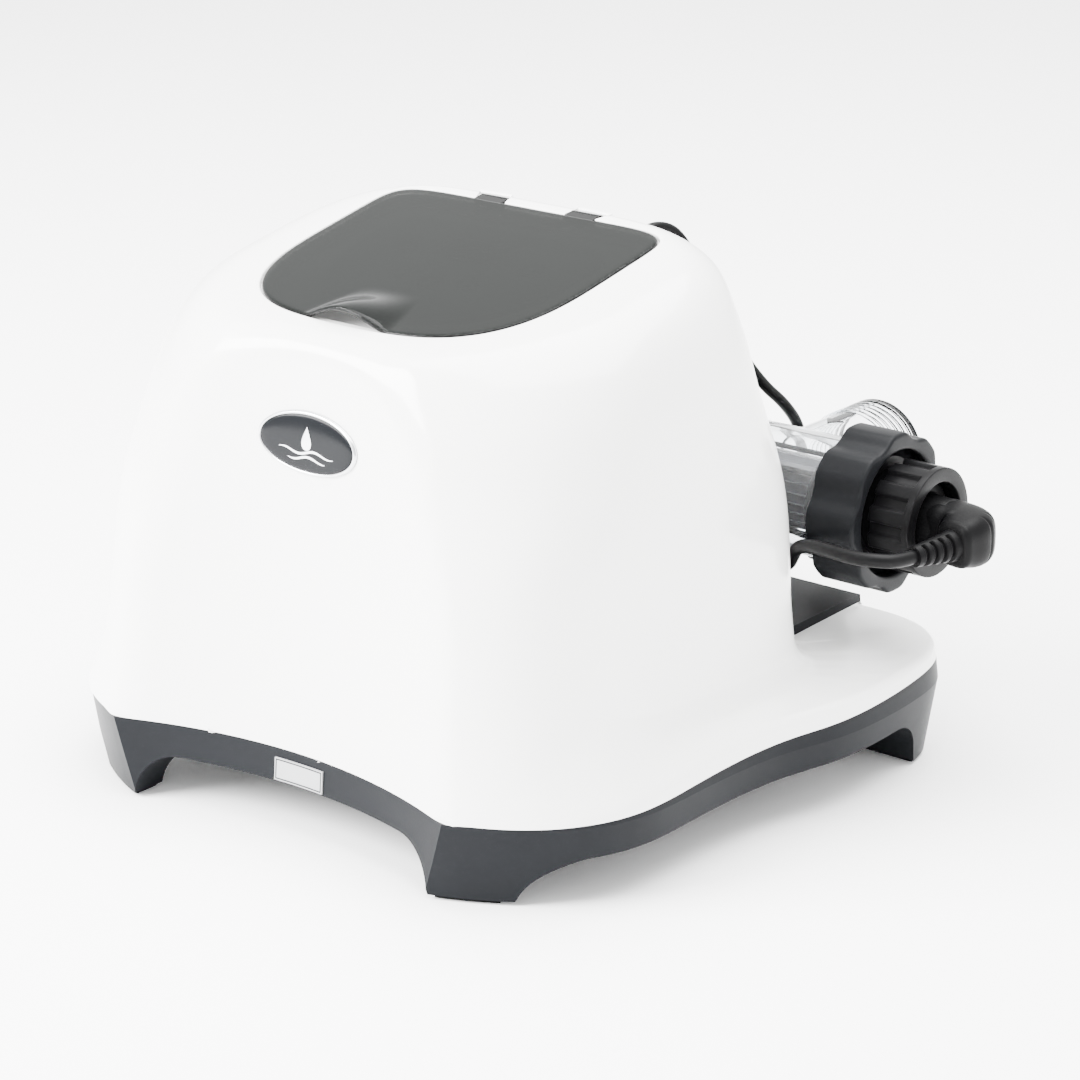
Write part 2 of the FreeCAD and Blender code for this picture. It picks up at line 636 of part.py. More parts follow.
def display_module():
    """The two-digit display block on the control board."""
    wide, deep = DISPLAY_SIZE
    low = V(-wide / 2 + 1, DISPLAY_V - deep / 2 + 1, BOARD_W)
    return on_lid_plane(box(low, V(wide / 2 - 1, DISPLAY_V + deep / 2 - 1, -RECESS_DEPTH + 0.5)))


def display_window():
    """The dark window over the display, set in the control panel."""
    wide, deep = DISPLAY_SIZE
    low = V(-wide / 2 + 0.1, DISPLAY_V - deep / 2 + 0.1, -RECESS_DEPTH + 0.6)
    high = V(wide / 2 - 0.1, DISPLAY_V + deep / 2 - 0.1, -RECESS_DEPTH + FASCIA_THICKNESS + 0.2)
    return on_lid_plane(box(low, high))


def status_lights():
    """The row of indicator lights on the control board."""
    lights = []
    for x in LED_X:
        lights.append(rod(LED_RADIUS, V(x, LED_V, BOARD_W),
                          V(x, LED_V, -RECESS_DEPTH + FASCIA_THICKNESS + 0.3)))
    return on_lid_plane(group(lights))


def control_board():
    """The control board with a switch under each key."""
    wide, deep = BOARD_HALF
    low = V(-wide, BOARD_V - deep, BOARD_W - BOARD_THICKNESS)
    board = box(low, V(wide, BOARD_V + deep, BOARD_W))
    for x, v in board_corners():
        board = board.cut(rod(1.4, V(x, v, BOARD_W - 5.0), V(x, v, BOARD_W + 1.0)))
    return on_lid_plane(board)


def key_switches():
    """The tactile switches that the keys press."""
    switches = []
    for name, x, v in BUTTONS:
        switches.append(box(V(x - 3, v - 3, BOARD_W), V(x + 3, v + 3, BOARD_W + SWITCH_HEIGHT)))
    return on_lid_plane(group(switches))


def board_screws():
    """Screws that hold the control board under the recess floor."""
    under = BOARD_W - BOARD_THICKNESS
    screws = []
    for x, v in board_corners():
        head = rod(2.8, V(x, v, under - 2.0), V(x, v, under))
        shank = rod(1.15, V(x, v, under - 1.0), V(x, v, BOARD_W + 7.0))
        screws.append(joined([head, shank]))
    return on_lid_plane(group(screws))


# ---- power supply inside the housing ---------------------------------------------------
def floor_plate(tray):
    """A flat metal chassis plate on legs over the tray's floor."""
    plate = box(V(-105, -120, FLOOR_Z - 1.5), V(105, 60, FLOOR_Z))
    legs = []
    for x in (-95, 95):
        for y in (-110, 50):
            leg = rod(4.0, V(x, y, FRONT_ARCH_TOP - 5.0), V(x, y, FLOOR_Z - 1.0)).cut(tray)
            legs.append(max(leg.Solids, key=lambda solid: solid.BoundBox.ZMax))
    return joined([plate] + legs)


def transformer_core():
    """The laminated core: three legs, two yokes and two mounting feet."""
    c = TRANSFORMER
    core = box(c + V(-48, -20, 2), c + V(48, 20, 82))
    for x in (-24, 24):
        core = core.cut(box(c + V(x - 8, -21, 18), c + V(x + 8, 21, 66)))
    feet = box(c + V(-60, -20, 0), c + V(60, 20, 2.5))
    return joined([core, feet])


def transformer_coil():
    """The winding round the middle leg."""
    c = TRANSFORMER
    outer = box(c + V(-31.5, -34, 18.5), c + V(31.5, 34, 65.5))
    middle = box(c + V(-16.2, -20.2, 18), c + V(16.2, 20.2, 66))
    return outer.cut(middle)


def power_board():
    return box(V(-95, -112, FLOOR_Z + 6.0), V(95, -52, FLOOR_Z + 7.6))


def board_spacers():
    spacers = []
    for x in (-88, 88):
        for y in (-106, -58):
            spacers.append(rod(3.0, V(x, y, FLOOR_Z), V(x, y, FLOOR_Z + 6.0)))
    return group(spacers)


def capacitors():
    cans = []
    for x, radius, height in ((-70, 9.0, 34.0), (-46, 9.0, 34.0), (-22, 6.5, 22.0)):
        cans.append(rod(radius, V(x, -78, FLOOR_Z + 7.6), V(x, -78, FLOOR_Z + 7.6 + height)))
    return group(cans)


def heat_sink():
    """A finned block on the power board."""
    base = box(V(15, -104, FLOOR_Z + 7.6), V(85, -99, FLOOR_Z + 52.0))
    fins = [base]
    for i in range(8):
        x = 15.0 + i * 9.5
        fins.append(box(V(x, -100, FLOOR_Z + 7.6), V(x + 2.5, -74, FLOOR_Z + 52.0)))
    return joined(fins)


# ---- cell vessel -----------------------------------------------------------------------
def vessel_point(x, out=0.0):
    return V(x, VESSEL_Y + out, VESSEL_Z)


def vessel_body():
    """The clear vessel: a tube across the back with two threaded hose ports."""
    outer = [rod(TUBE_RADIUS, vessel_point(-TUBE_END), vessel_point(TUBE_END))]
    inner = [rod(TUBE_RADIUS - TUBE_WALL, vessel_point(-TUBE_END - 1), vessel_point(TUBE_END + 1))]
    reach = PORT_END - RIM_THICKNESS - VESSEL_Y
    thread = reach - THREAD_LENGTH - THREAD_LEAD_IN
    for x in (-PORT_X, PORT_X):
        outer.append(rod(PORT_NECK_RADIUS, vessel_point(x), vessel_point(x, thread)))
        outer.append(rod(PORT_RADIUS, vessel_point(x, thread), vessel_point(x, reach)))
        inner.append(rod(PORT_RADIUS - PORT_WALL, vessel_point(x), vessel_point(x, reach + 1)))
    boss_top = VESSEL_Z - PORT_RADIUS + 4.0
    sensor = V(PORT_X, SENSOR_Y, boss_top)
    outer.append(rod(SENSOR_RADIUS + 2.5, sensor - ALONG_Z * 12.0, sensor))
    inner.append(rod(SENSOR_RADIUS + CLEAR, sensor - ALONG_Z * 20.0, sensor + ALONG_Z * 5.0))
    body = joined(outer).cut(joined(inner))
    grooves = []
    count = int(THREAD_LENGTH / THREAD_PITCH)
    for x in (-PORT_X, PORT_X):
        for i in range(count):
            start = reach - THREAD_LEAD_IN - i * THREAD_PITCH
            grooves.append(ring(PORT_RADIUS + 1, PORT_RADIUS - THREAD_DEPTH,
                                vessel_point(x, start - THREAD_PITCH / 2), vessel_point(x, start)))
    for groove in grooves:
        body = body.cut(groove)
    for side in (-1, 1):
        arrow = port_arrow(side)
        body = body.fuse(arrow)
    return body.removeSplitter()


def port_arrow(side):
    """The raised flow arrow on top of a port, pointing in on one side and out on the other."""
    x, y = side * PORT_X, VESSEL_Y + 52.0
    tip = -side * 13.0
    outline = [V(x, y + tip, 0), V(x - 6, y + tip * 0.35, 0), V(x - 2.5, y + tip * 0.35, 0),
               V(x - 2.5, y - tip, 0), V(x + 2.5, y - tip, 0), V(x + 2.5, y + tip * 0.35, 0),
               V(x + 6, y + tip * 0.35, 0), V(x, y + tip, 0)]
    prism = Part.Face(Part.makePolygon(outline)).extrude(V(0, 0, 60.0))
    prism.translate(V(0, 0, VESSEL_Z))
    crown = rod(PORT_NECK_RADIUS + ARROW_RAISE, vessel_point(x), vessel_point(x, 90.0))
    core = rod(PORT_NECK_RADIUS - ARROW_RAISE, vessel_point(x), vessel_point(x, 90.0))
    return prism.common(crown.cut(core))


def port_rims():
    """The dark sealing rim on the end of each hose port."""
    reach = PORT_END - VESSEL_Y
    rims = []
    for x in (-PORT_X, PORT_X):
        rims.append(ring(PORT_RADIUS, PORT_RADIUS - PORT_WALL,
                         vessel_point(x, reach - RIM_THICKNESS), vessel_point(x, reach)))
    return group(rims)


def collar_nut():
    """The scalloped collar on the right end of the tube."""
    nut = rod(COLLAR_RADIUS, vessel_point(COLLAR_START), vessel_point(COLLAR_END))
    ends = [edge for edge in nut.Edges if edge.Closed]
    nut = nut.makeChamfer(2.0, ends)
    for i in range(COLLAR_LOBES):
        angle = 2.0 * math.pi * (i + 0.5) / COLLAR_LOBES
        out = COLLAR_RADIUS + SCALLOP_RADIUS - SCALLOP_DEPTH
        at = V(0, out * math.cos(angle), out * math.sin(angle))
        nut = nut.cut(rod(SCALLOP_RADIUS, vessel_point(COLLAR_START - 1) + at,
                          vessel_point(COLLAR_END + 1) + at))
    lip_start = TUBE_END + CAP_FLANGE_THICKNESS + 0.1
    nut = nut.cut(rod(TUBE_RADIUS + CLEAR, vessel_point(COLLAR_START - 1), vessel_point(lip_start)))
    nut = nut.cut(rod(COLLAR_LIP, vessel_point(lip_start - 1), vessel_point(COLLAR_END + 1)))
    mouth = Part.makeCone(COLLAR_LIP, COLLAR_MOUTH, 4.0, vessel_point(lip_start + 3.0), ALONG_X)
    nut = nut.cut(mouth)
    return nut.cut(rod(COLLAR_MOUTH, vessel_point(lip_start + 7.0), vessel_point(COLLAR_END + 1)))


def end_cap(boss_end):
    """The cap that the right collar clamps on the tube, with its threaded boss."""
    flange_end = TUBE_END + CAP_FLANGE_THICKNESS
    flange = rod(CAP_FLANGE_RADIUS, vessel_point(TUBE_END), vessel_point(flange_end))
    neck = rod(CAP_NECK_RADIUS, vessel_point(TUBE_END), vessel_point(TUBE_END + 12.0))
    boss = rod(BOSS_RADIUS, vessel_point(TUBE_END), vessel_point(boss_end))
    spigot = rod(TUBE_RADIUS - TUBE_WALL - CLEAR, vessel_point(TUBE_END - 12.0), vessel_point(TUBE_END))
    return joined([flange, neck, boss, spigot])


def seal(x):
    """A round seal between a cap's spigot and the tube."""
    return Part.makeTorus(TUBE_RADIUS - TUBE_WALL - 1.0, 0.9, vessel_point(x), ALONG_X)


def cell_cap():
    """The cell's end cap, with a socket for the plug and a groove for its seal."""
    cap = end_cap(BOSS_END).cut(rod(PLUG_BARREL_RADIUS + CLEAR, vessel_point(BOSS_END - 14.0),
                                    vessel_point(BOSS_END + 1)))
    return cap.cut(seal(TUBE_END - 6.0))


def electrode_cap():
    """The left cap, which carries the second electrode and ends in a closed dome."""
    cap = end_cap(TUBE_END + 20.0)
    crown = Part.makeSphere(BOSS_RADIUS * 1.35, vessel_point(TUBE_END + 2.0))
    cap = cap.common(joined([crown, rod(60, vessel_point(0), vessel_point(TUBE_END + 14.0))]))
    return mirrored(cap.cut(seal(TUBE_END - 6.0)))


def cell_block():
    """The dark frame that holds the electrode plates inside the tube."""
    start, end = TUBE_END - 12.0 - PLATE_LENGTH - 10.0, TUBE_END - 12.0
    parts = [rod(CELL_RADIUS, vessel_point(end - 12.0), vessel_point(end)),
             rod(CELL_RADIUS, vessel_point(start), vessel_point(start + 6.0))]
    for angle in (45, 135, 225, 315):
        y = CELL_RADIUS * math.cos(math.radians(angle)) * 0.93
        z = CELL_RADIUS * math.sin(math.radians(angle)) * 0.93
        at = V(0, y, z)
        parts.append(rod(1.6, vessel_point(start) + at, vessel_point(end) + at))
    return joined(parts)


def electrode_plates():
    """The row of coated plates, between the two ends of the cell block."""
    start = TUBE_END - 12.0 - PLATE_LENGTH - 4.0
    plates = []
    for i in range(PLATE_COUNT):
        off = (i - (PLATE_COUNT - 1) / 2.0) * PLATE_PITCH
        half = math.sqrt((CELL_RADIUS * 0.80) ** 2 - off ** 2)
        low = vessel_point(start) + V(0, -half, off - PLATE_THICKNESS / 2)
        plates.append(box(low, vessel_point(start + PLATE_LENGTH - 8.0) + V(0, half, off + 0.5)))
    return group(plates)


def second_electrode():
    """The pair of electrode bars behind the left cap."""
    start = TUBE_END - 12.0
    bars = []
    for y in (-9.0, 9.0):
        at = V(0, y, 0)
        bars.append(rod(4.0, vessel_point(start - 70.0) + at, vessel_point(start) + at))
    return mirrored(group(bars))


def ring_nut():
    """The castellated ring that holds the plug in the cell's cap."""
    nut = rod(RING_RADIUS, vessel_point(RING_START), vessel_point(RING_END))
    for i in range(RING_LUGS):
        angle = 2.0 * math.pi * i / RING_LUGS
        out = RING_RADIUS + 4.2
        at = V(0, out * math.cos(angle), out * math.sin(angle))
        nut = nut.cut(rod(6.0, vessel_point(RING_START - 1) + at, vessel_point(RING_END - 3.0) + at))
    nut = nut.cut(rod(BOSS_RADIUS + CLEAR, vessel_point(RING_START - 1), vessel_point(BOSS_END + 3.0)))
    return nut.cut(rod(RING_MOUTH, vessel_point(BOSS_END), vessel_point(RING_END + 1)))


def saddle(x):
    """A cradle that stands on the deck and carries the tube."""
    radius = TUBE_RADIUS + CLEAR
    left, right = x - SADDLE_WIDTH / 2, x + SADDLE_WIDTH / 2
    foot = box(V(left, VESSEL_Y - 34.0, DECK_TOP), V(right, VESSEL_Y + 34.0, DECK_TOP + 5.0))
    body = box(V(left, VESSEL_Y - 24.0, DECK_TOP), V(right, VESSEL_Y + 24.0, VESSEL_Z - 18.0))
    block = joined([foot, body]).cut(rod(radius, vessel_point(x - 20), vessel_point(x + 20)))
    for y in (VESSEL_Y - 29.0, VESSEL_Y + 29.0):
        block = block.cut(rod(SCREW_RADIUS + CLEAR, V(x, y, DECK_TOP - 1), V(x, y, DECK_TOP + 6)))
    return block


def strap(x):
    """A band over the tube that is hooked in the cradle's sides."""
    half = SADDLE_WIDTH / 2 - 2.0
    band = ring(TUBE_RADIUS + CLEAR + 2.0, TUBE_RADIUS + CLEAR, vessel_point(x - half),
                vessel_point(x + half))
    return band.cut(box(V(x - 20, VESSEL_Y - 60, 0), V(x + 20, VESSEL_Y + 60, VESSEL_Z - 17.9)))


def saddle_screws():
    """Screws that hold the cradles on the deck."""
    screws = []
    for x, y in saddle_screw_places():
        head = rod(3.8, V(x, y, DECK_TOP + 5.0), V(x, y, DECK_TOP + 7.2))
        shank = rod(SCREW_RADIUS, V(x, y, DECK_TOP - 6.0), V(x, y, DECK_TOP + 6.0))
        screws.append(joined([head, shank]))
    return group(screws)


# ---- flow sensor -----------------------------------------------------------------------
def sensor_body():
    """The flow sensor, which enters the right port from below."""
    top = V(PORT_X, SENSOR_Y, VESSEL_Z - PORT_RADIUS + 8.0)
    stem = rod(SENSOR_RADIUS, V(PORT_X, SENSOR_Y, SENSOR_TAIL_Z - 6.5), top)
    fork = []
    for x in (-6.0, 4.5):
        fork.append(box(top + V(x, -5, -1), top + V(x + 1.5, 5, 12.0)))
    tail = rod(5.5, V(PORT_X - SENSOR_RADIUS - 4.0, SENSOR_Y, SENSOR_TAIL_Z),
               V(PORT_X, SENSOR_Y, SENSOR_TAIL_Z))
    body = joined([stem, tail] + fork)
    pin = rod(1.2, top + V(-8, 0, 9.0), top + V(8, 0, 9.0))
    return body.cut(pin)


def paddle_pin():
    top = V(PORT_X, SENSOR_Y, VESSEL_Z - PORT_RADIUS + 8.0)
    return rod(1.15, top + V(-6, 0, 9.0), top + V(6, 0, 9.0))


def flow_paddle():
    """The paddle that the flow of water pushes over."""
    top = V(PORT_X, SENSOR_Y, VESSEL_Z - PORT_RADIUS + 8.0)
    hub = rod(2.6, top + V(-4.2, 0, 9.0), top + V(4.2, 0, 9.0))
    blade = box(top + V(-4.0, -0.8, 9.0), top + V(4.0, 0.8, 34.0))
    return joined([hub, blade]).cut(rod(1.2, top + V(-8, 0, 9.0), top + V(8, 0, 9.0)))


def sensor_nut():
    """The knurled nut that holds the sensor on its boss."""
    base = VESSEL_Z - PORT_RADIUS + 4.0 - 12.0
    low, high = V(PORT_X, SENSOR_Y, base - 9.0), V(PORT_X, SENSOR_Y, base)
    nut = rod(SENSOR_NUT_RADIUS, low, high)
    for i in range(12):
        angle = 2.0 * math.pi * i / 12
        at = V((SENSOR_NUT_RADIUS + 1.5) * math.cos(angle), (SENSOR_NUT_RADIUS + 1.5) * math.sin(angle), 0)
        nut = nut.cut(rod(2.5, low + at - ALONG_Z, high + at + ALONG_Z))
    return nut.cut(rod(SENSOR_RADIUS + CLEAR / 2, low - ALONG_Z, high + ALONG_Z))


# ---- plug, leads and glands ------------------------------------------------------------
def cell_plug():
    """The right-angle plug: a barrel into the cell's cap and an elbow towards the front."""
    flange = rod(RING_MOUTH - 1.0, vessel_point(BOSS_END + 0.1), vessel_point(BOSS_END + 4.0))
    barrel = rod(PLUG_BARREL_RADIUS, vessel_point(BOSS_END - 13.0), vessel_point(PLUG_X - 8.0))
    low = V(PLUG_X - 13.0, RELIEF_START, PLUG_Z - 15.0)
    head = box(low, V(PLUG_X + 15.0, VESSEL_Y + 18.0, PLUG_Z + 16.0))
    head = head.makeFillet(7.0, head.Edges)
    return joined([flange, barrel, head])


def strain_relief():
    """The ribbed sleeve on the lead where it leaves the plug."""
    start = V(PLUG_X, RELIEF_START, PLUG_Z)
    ribs = [Part.makeCone(8.6, 5.6, RELIEF_LENGTH, start, RELIEF_AIM)]
    for i in range(4):
        near = start + RELIEF_AIM * (5.0 + i * 6.5)
        ribs.append(rod(9.4 - i * 0.7, near, near + RELIEF_AIM * 3.4))
    return joined(ribs).cut(box(V(PLUG_X - 30.0, RELIEF_START, 0), V(PLUG_X + 30.0, 200.0, 200.0)))


def gland(place, aim, lead_radius):
    """A round cord gland: a nut on the wall, a tapered nose and a sleeve through the wall."""
    nut = rod(GLAND_RADIUS, place - aim * 6.0, place + aim * 6.0)
    nose = Part.makeCone(GLAND_RADIUS - 1.5, lead_radius + 1.4, GLAND_LENGTH - 6.0, place + aim * 6.0, aim)
    outside = joined([nut, nose]).cut(dome(-0.05))
    sleeve = rod(GLAND_RADIUS - 2.5, place - aim * 12.0, place + aim * 3.0)
    return outside.fuse(sleeve).cut(rod(lead_radius + PIN_CLEAR, place - aim * 13.0,
                                        place + aim * (GLAND_LENGTH + 1.0)))


def lead_path(points):
    """A wire of straight runs joined by tangent arcs, and the radii of its arcs."""
    edges, radii = [], []
    here = points[0]
    for i in range(1, len(points) - 1):
        back, ahead = points[i - 1] - points[i], points[i + 1] - points[i]
        shorter = min(back.Length, ahead.Length)
        before, after = V(back).normalize(), V(ahead).normalize()
        turn = math.pi - math.acos(max(-1.0, min(1.0, before.dot(after))))
        radius = 0.45 * shorter / math.tan(turn / 2.0)
        start, end = points[i] + before * shorter * 0.45, points[i] + after * shorter * 0.45
        inset = radius / math.cos(turn / 2.0) - radius
        middle = points[i] + (before + after).normalize() * inset
        edges.append(Part.LineSegment(here, start).toShape())
        edges.append(Part.Arc(start, middle, end).toShape())
        radii.append(radius)
        here = end
    edges.append(Part.LineSegment(here, points[-1]).toShape())
    return Part.Wire(edges), radii


def lead(name, points, radius):
    """A round lead along its route."""
    path, radii = lead_path(points)
    circle = Part.makeCircle(radius, points[0], points[1] - points[0])
    tube = path.makePipeShell([Part.Wire([circle])], True, False)
    expected = math.pi * radius ** 2 * path.Length
    print(name, "length %.0f" % path.Length, "radii", [round(r, 1) for r in radii],
          "volume ratio %.4f" % (tube.Volume / expected))
    return tube


# ---- all nodes -------------------------------------------------------------------------
def nodes():
    parts = {}
    parts["housing_shell"] = housing_shell()
    parts["base_tray"] = base_tray()
    parts["foot_pads"] = foot_pads()
    parts["base_screws"] = base_screws(parts["base_tray"])
    parts["rear_deck"] = rear_deck()
    parts["badge"] = badge()
    parts["badge_ring"] = badge_ring()
    parts["rating_label"] = rating_label()
    parts["lid"] = lid()
    parts["hinge_pins"] = hinge_pins()
    parts["control_fascia"] = fascia()
    for name, x, v in BUTTONS:
        parts["button_" + name] = button(x, v)
    parts["display_module"] = display_module()
    parts["display_window"] = display_window()
    parts["status_lights"] = status_lights()
    parts["control_board"] = control_board()
    parts["key_switches"] = key_switches()
    parts["board_screws"] = board_screws()
    parts["floor_plate"] = floor_plate(parts["base_tray"])
    parts["transformer_core"] = transformer_core()
    parts["transformer_coil"] = transformer_coil()
    parts["power_board"] = power_board()
    parts["board_spacers"] = board_spacers()
    parts["capacitors"] = capacitors()
    parts["heat_sink"] = heat_sink()
    parts["vessel_body"] = vessel_body()
    parts["port_rims"] = port_rims()
    parts["collar_right"] = collar_nut()
    parts["collar_left"] = mirrored(collar_nut())
    parts["cell_cap"] = cell_cap()
    parts["electrode_cap"] = electrode_cap()
    parts["cell_block"] = cell_block()
    parts["electrode_plates"] = electrode_plates()
    parts["second_electrode"] = second_electrode()
    parts["tube_seals"] = group([seal(TUBE_END - 6.0), mirrored(seal(TUBE_END - 6.0))])
    parts["ring_nut"] = ring_nut()
    parts["saddle_right"] = saddle(SADDLE_X)
    parts["saddle_left"] = saddle(-SADDLE_X)
    parts["straps"] = group([strap(SADDLE_X), strap(-SADDLE_X)])
    parts["saddle_screws"] = saddle_screws()
    parts["sensor_body"] = sensor_body()
    parts["paddle_pin"] = paddle_pin()
    parts["flow_paddle"] = flow_paddle()
    parts["sensor_nut"] = sensor_nut()
    parts["cell_plug"] = cell_plug()
    parts["strain_relief"] = strain_relief()
    parts["cell_gland"] = gland(CELL_GLAND, CELL_GLAND_AIM, LEAD_RADIUS)
    parts["mains_gland"] = gland(MAINS_GLAND, MAINS_GLAND_AIM, LEAD_RADIUS)
    parts["sensor_gland"] = gland(SENSOR_GLAND, SENSOR_GLAND_AIM, SENSOR_LEAD_RADIUS)
    parts["cell_lead"] = lead("cell_lead", CELL_LEAD_ROUTE, LEAD_RADIUS)
    parts["sensor_lead"] = lead("sensor_lead", SENSOR_LEAD_ROUTE, SENSOR_LEAD_RADIUS)
    return parts


os.makedirs("parts", exist_ok=True)
for node, shape in nodes().items():
    shape.exportStep(os.path.join("parts", node + ".step"))
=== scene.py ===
import json
import math

import bmesh
import bpy
import numpy as np
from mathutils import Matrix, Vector, kdtree


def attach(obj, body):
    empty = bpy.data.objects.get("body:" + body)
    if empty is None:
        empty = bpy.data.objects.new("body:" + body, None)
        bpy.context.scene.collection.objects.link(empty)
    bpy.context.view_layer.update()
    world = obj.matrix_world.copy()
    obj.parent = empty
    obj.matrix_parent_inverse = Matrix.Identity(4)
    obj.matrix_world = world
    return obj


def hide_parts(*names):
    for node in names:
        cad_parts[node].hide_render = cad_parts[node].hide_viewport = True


# Looks for a salt chlorine generator. Lengths below are millimetres unless a name says
# otherwise; every mesh is scaled to metres when it is made.
MM = 0.001
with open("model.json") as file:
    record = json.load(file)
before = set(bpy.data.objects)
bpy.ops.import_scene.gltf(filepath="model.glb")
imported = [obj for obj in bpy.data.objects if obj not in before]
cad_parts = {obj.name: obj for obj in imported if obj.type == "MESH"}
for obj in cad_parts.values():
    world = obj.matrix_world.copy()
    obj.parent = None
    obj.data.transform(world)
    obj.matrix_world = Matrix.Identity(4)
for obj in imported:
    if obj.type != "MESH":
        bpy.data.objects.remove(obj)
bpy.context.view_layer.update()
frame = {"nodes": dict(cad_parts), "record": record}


# ---- small geometry helpers --------------------------------------------------------------
def smooth_step(value):
    """Rises smoothly from 0 to 1."""
    value = np.clip(value, 0.0, 1.0)
    return value * value * (3.0 - 2.0 * value)


def new_object(name, vertices, faces, smooth=True):
    """A mesh object from millimetre vertices."""
    mesh = bpy.data.meshes.new(name)
    mesh.from_pydata([tuple(v) for v in np.asarray(vertices, float) * MM], [], faces)
    mesh.validate()
    thing = bpy.data.objects.new(name, mesh)
    bpy.context.scene.collection.objects.link(thing)
    if smooth:
        mesh.polygons.foreach_set("use_smooth", [True] * len(mesh.polygons))
    return thing


def grid_faces(rows, columns, closed_columns=True, start=0, flip=False):
    """Quads between consecutive rows of a grid of vertices."""
    faces = []
    for i in range(rows - 1):
        for j in range(columns if closed_columns else columns - 1):
            k = (j + 1) % columns
            a, b = start + i * columns + j, start + i * columns + k
            quad = (a, b, b + columns, a + columns)
            faces.append(quad[::-1] if flip else quad)
    return faces


def finish_mesh(thing, weld=0.02):
    """Welds doubled vertices and points all faces outwards."""
    work = bmesh.new()
    work.from_mesh(thing.data)
    bmesh.ops.remove_doubles(work, verts=work.verts, dist=weld * MM)
    bmesh.ops.dissolve_degenerate(work, edges=work.edges, dist=0.001 * MM)
    bmesh.ops.recalc_face_normals(work, faces=work.faces)
    work.to_mesh(thing.data)
    work.free()
    thing.data.update()
    return thing


def sharpen(thing, degrees):
    """Keeps edges steeper than the angle crisp on a smooth mesh."""
    work = bmesh.new()
    work.from_mesh(thing.data)
    limit = math.radians(degrees)
    for edge in work.edges:
        edge.smooth = not (edge.is_manifold and edge.calc_face_angle(0.0) > limit)
    work.to_mesh(thing.data)
    work.free()
    return thing


def lathe(name, profile, origin, axis, radius_at=None, steps=96):
    """A turned shape: profile holds (distance along the axis, radius) and is closed."""
    axis = Vector(axis).normalized()
    side = axis.orthogonal().normalized()
    if abs(axis.z) < 0.9:
        side = Vector((0, 0, 1)) - axis * axis.z
        side.normalize()
    other = axis.cross(side)
    origin = np.array(origin, float)
    axis, side, other = (np.array(v) for v in (axis, side, other))
    points = []
    for along, radius in profile:
        for j in range(steps):
            angle = 2.0 * math.pi * j / steps
            r = radius if radius_at is None else radius_at(along, radius, angle)
            points.append(origin + axis * along + (side * math.cos(angle) + other * math.sin(angle)) * r)
    count = len(profile)
    faces = grid_faces(count, steps)
    for j in range(steps):
        k = (j + 1) % steps
        faces.append(((count - 1) * steps + j, (count - 1) * steps + k, k, j))
    thing = new_object(name, points, faces)
    return finish_mesh(thing, 0.001)


def rounded(profile, radius, steps=4):
    """The closed profile with each corner replaced by a short arc."""
    made = []
    count = len(profile)
    for i in range(count):
        here = np.array(profile[i], float)
        back, ahead = np.array(profile[i - 1]) - here, np.array(profile[(i + 1) % count]) - here
        reach = min(radius, 0.45 * np.linalg.norm(back), 0.45 * np.linalg.norm(ahead))
        a = here + back / np.linalg.norm(back) * reach
        b = here + ahead / np.linalg.norm(ahead) * reach
        for s in range(steps + 1):
            t = s / steps
            made.append(tuple(a * (1 - t) ** 2 + here * 2 * t * (1 - t) + b * t * t))
    return made


# ---- materials ------------------------------------------------------------------------------
def surface(name, colour, rough, vary=0.05, scale=60.0, bump=0.02, metallic=0.0, coat=0.0, rough_vary=0.05,
            alpha=1.0, transmission=0.0, ior=1.46, specular=0.5):
    """A procedural surface: two noises vary its colour, roughness and relief a little."""
    made = bpy.data.materials.new(name)
    made.use_nodes = True
    tree = made.node_tree
    shader = tree.nodes["Principled BSDF"]
    place = tree.nodes.new("ShaderNodeTexCoord")
    broad = tree.nodes.new("ShaderNodeTexNoise")
    broad.inputs["Scale"].default_value = scale
    broad.inputs["Detail"].default_value = 4.0
    fine = tree.nodes.new("ShaderNodeTexNoise")
    fine.inputs["Scale"].default_value = scale * 22.0
    fine.inputs["Detail"].default_value = 2.0
    for noise in (broad, fine):
        tree.links.new(place.outputs["Object"], noise.inputs["Vector"])
    ramp = tree.nodes.new("ShaderNodeValToRGB")
    ramp.color_ramp.elements[0].position, ramp.color_ramp.elements[1].position = 0.3, 0.7
    ramp.color_ramp.elements[0].color = [c * (1 - vary) for c in colour] + [1]
    ramp.color_ramp.elements[1].color = [min(1.0, c * (1 + vary)) for c in colour] + [1]
    tree.links.new(broad.outputs["Fac"], ramp.inputs["Fac"])
    tree.links.new(ramp.outputs["Color"], shader.inputs["Base Color"])
    spread = tree.nodes.new("ShaderNodeMapRange")
    spread.inputs["To Min"].default_value = max(0.0, rough - rough_vary)
    spread.inputs["To Max"].default_value = min(1.0, rough + rough_vary)
    tree.links.new(fine.outputs["Fac"], spread.inputs["Value"])
    tree.links.new(spread.outputs["Result"], shader.inputs["Roughness"])
    relief = tree.nodes.new("ShaderNodeBump")
    relief.inputs["Strength"].default_value = bump
    relief.inputs["Distance"].default_value = 0.0004
    tree.links.new(fine.outputs["Fac"], relief.inputs["Height"])
    tree.links.new(relief.outputs["Normal"], shader.inputs["Normal"])
    shader.inputs["Metallic"].default_value = metallic
    shader.inputs["Coat Weight"].default_value = coat
    shader.inputs["Coat Roughness"].default_value = 0.08
    shader.inputs["Alpha"].default_value = alpha
    shader.inputs["Transmission Weight"].default_value = transmission
    shader.inputs["IOR"].default_value = ior
    shader.inputs["Specular IOR Level"].default_value = specular
    return made


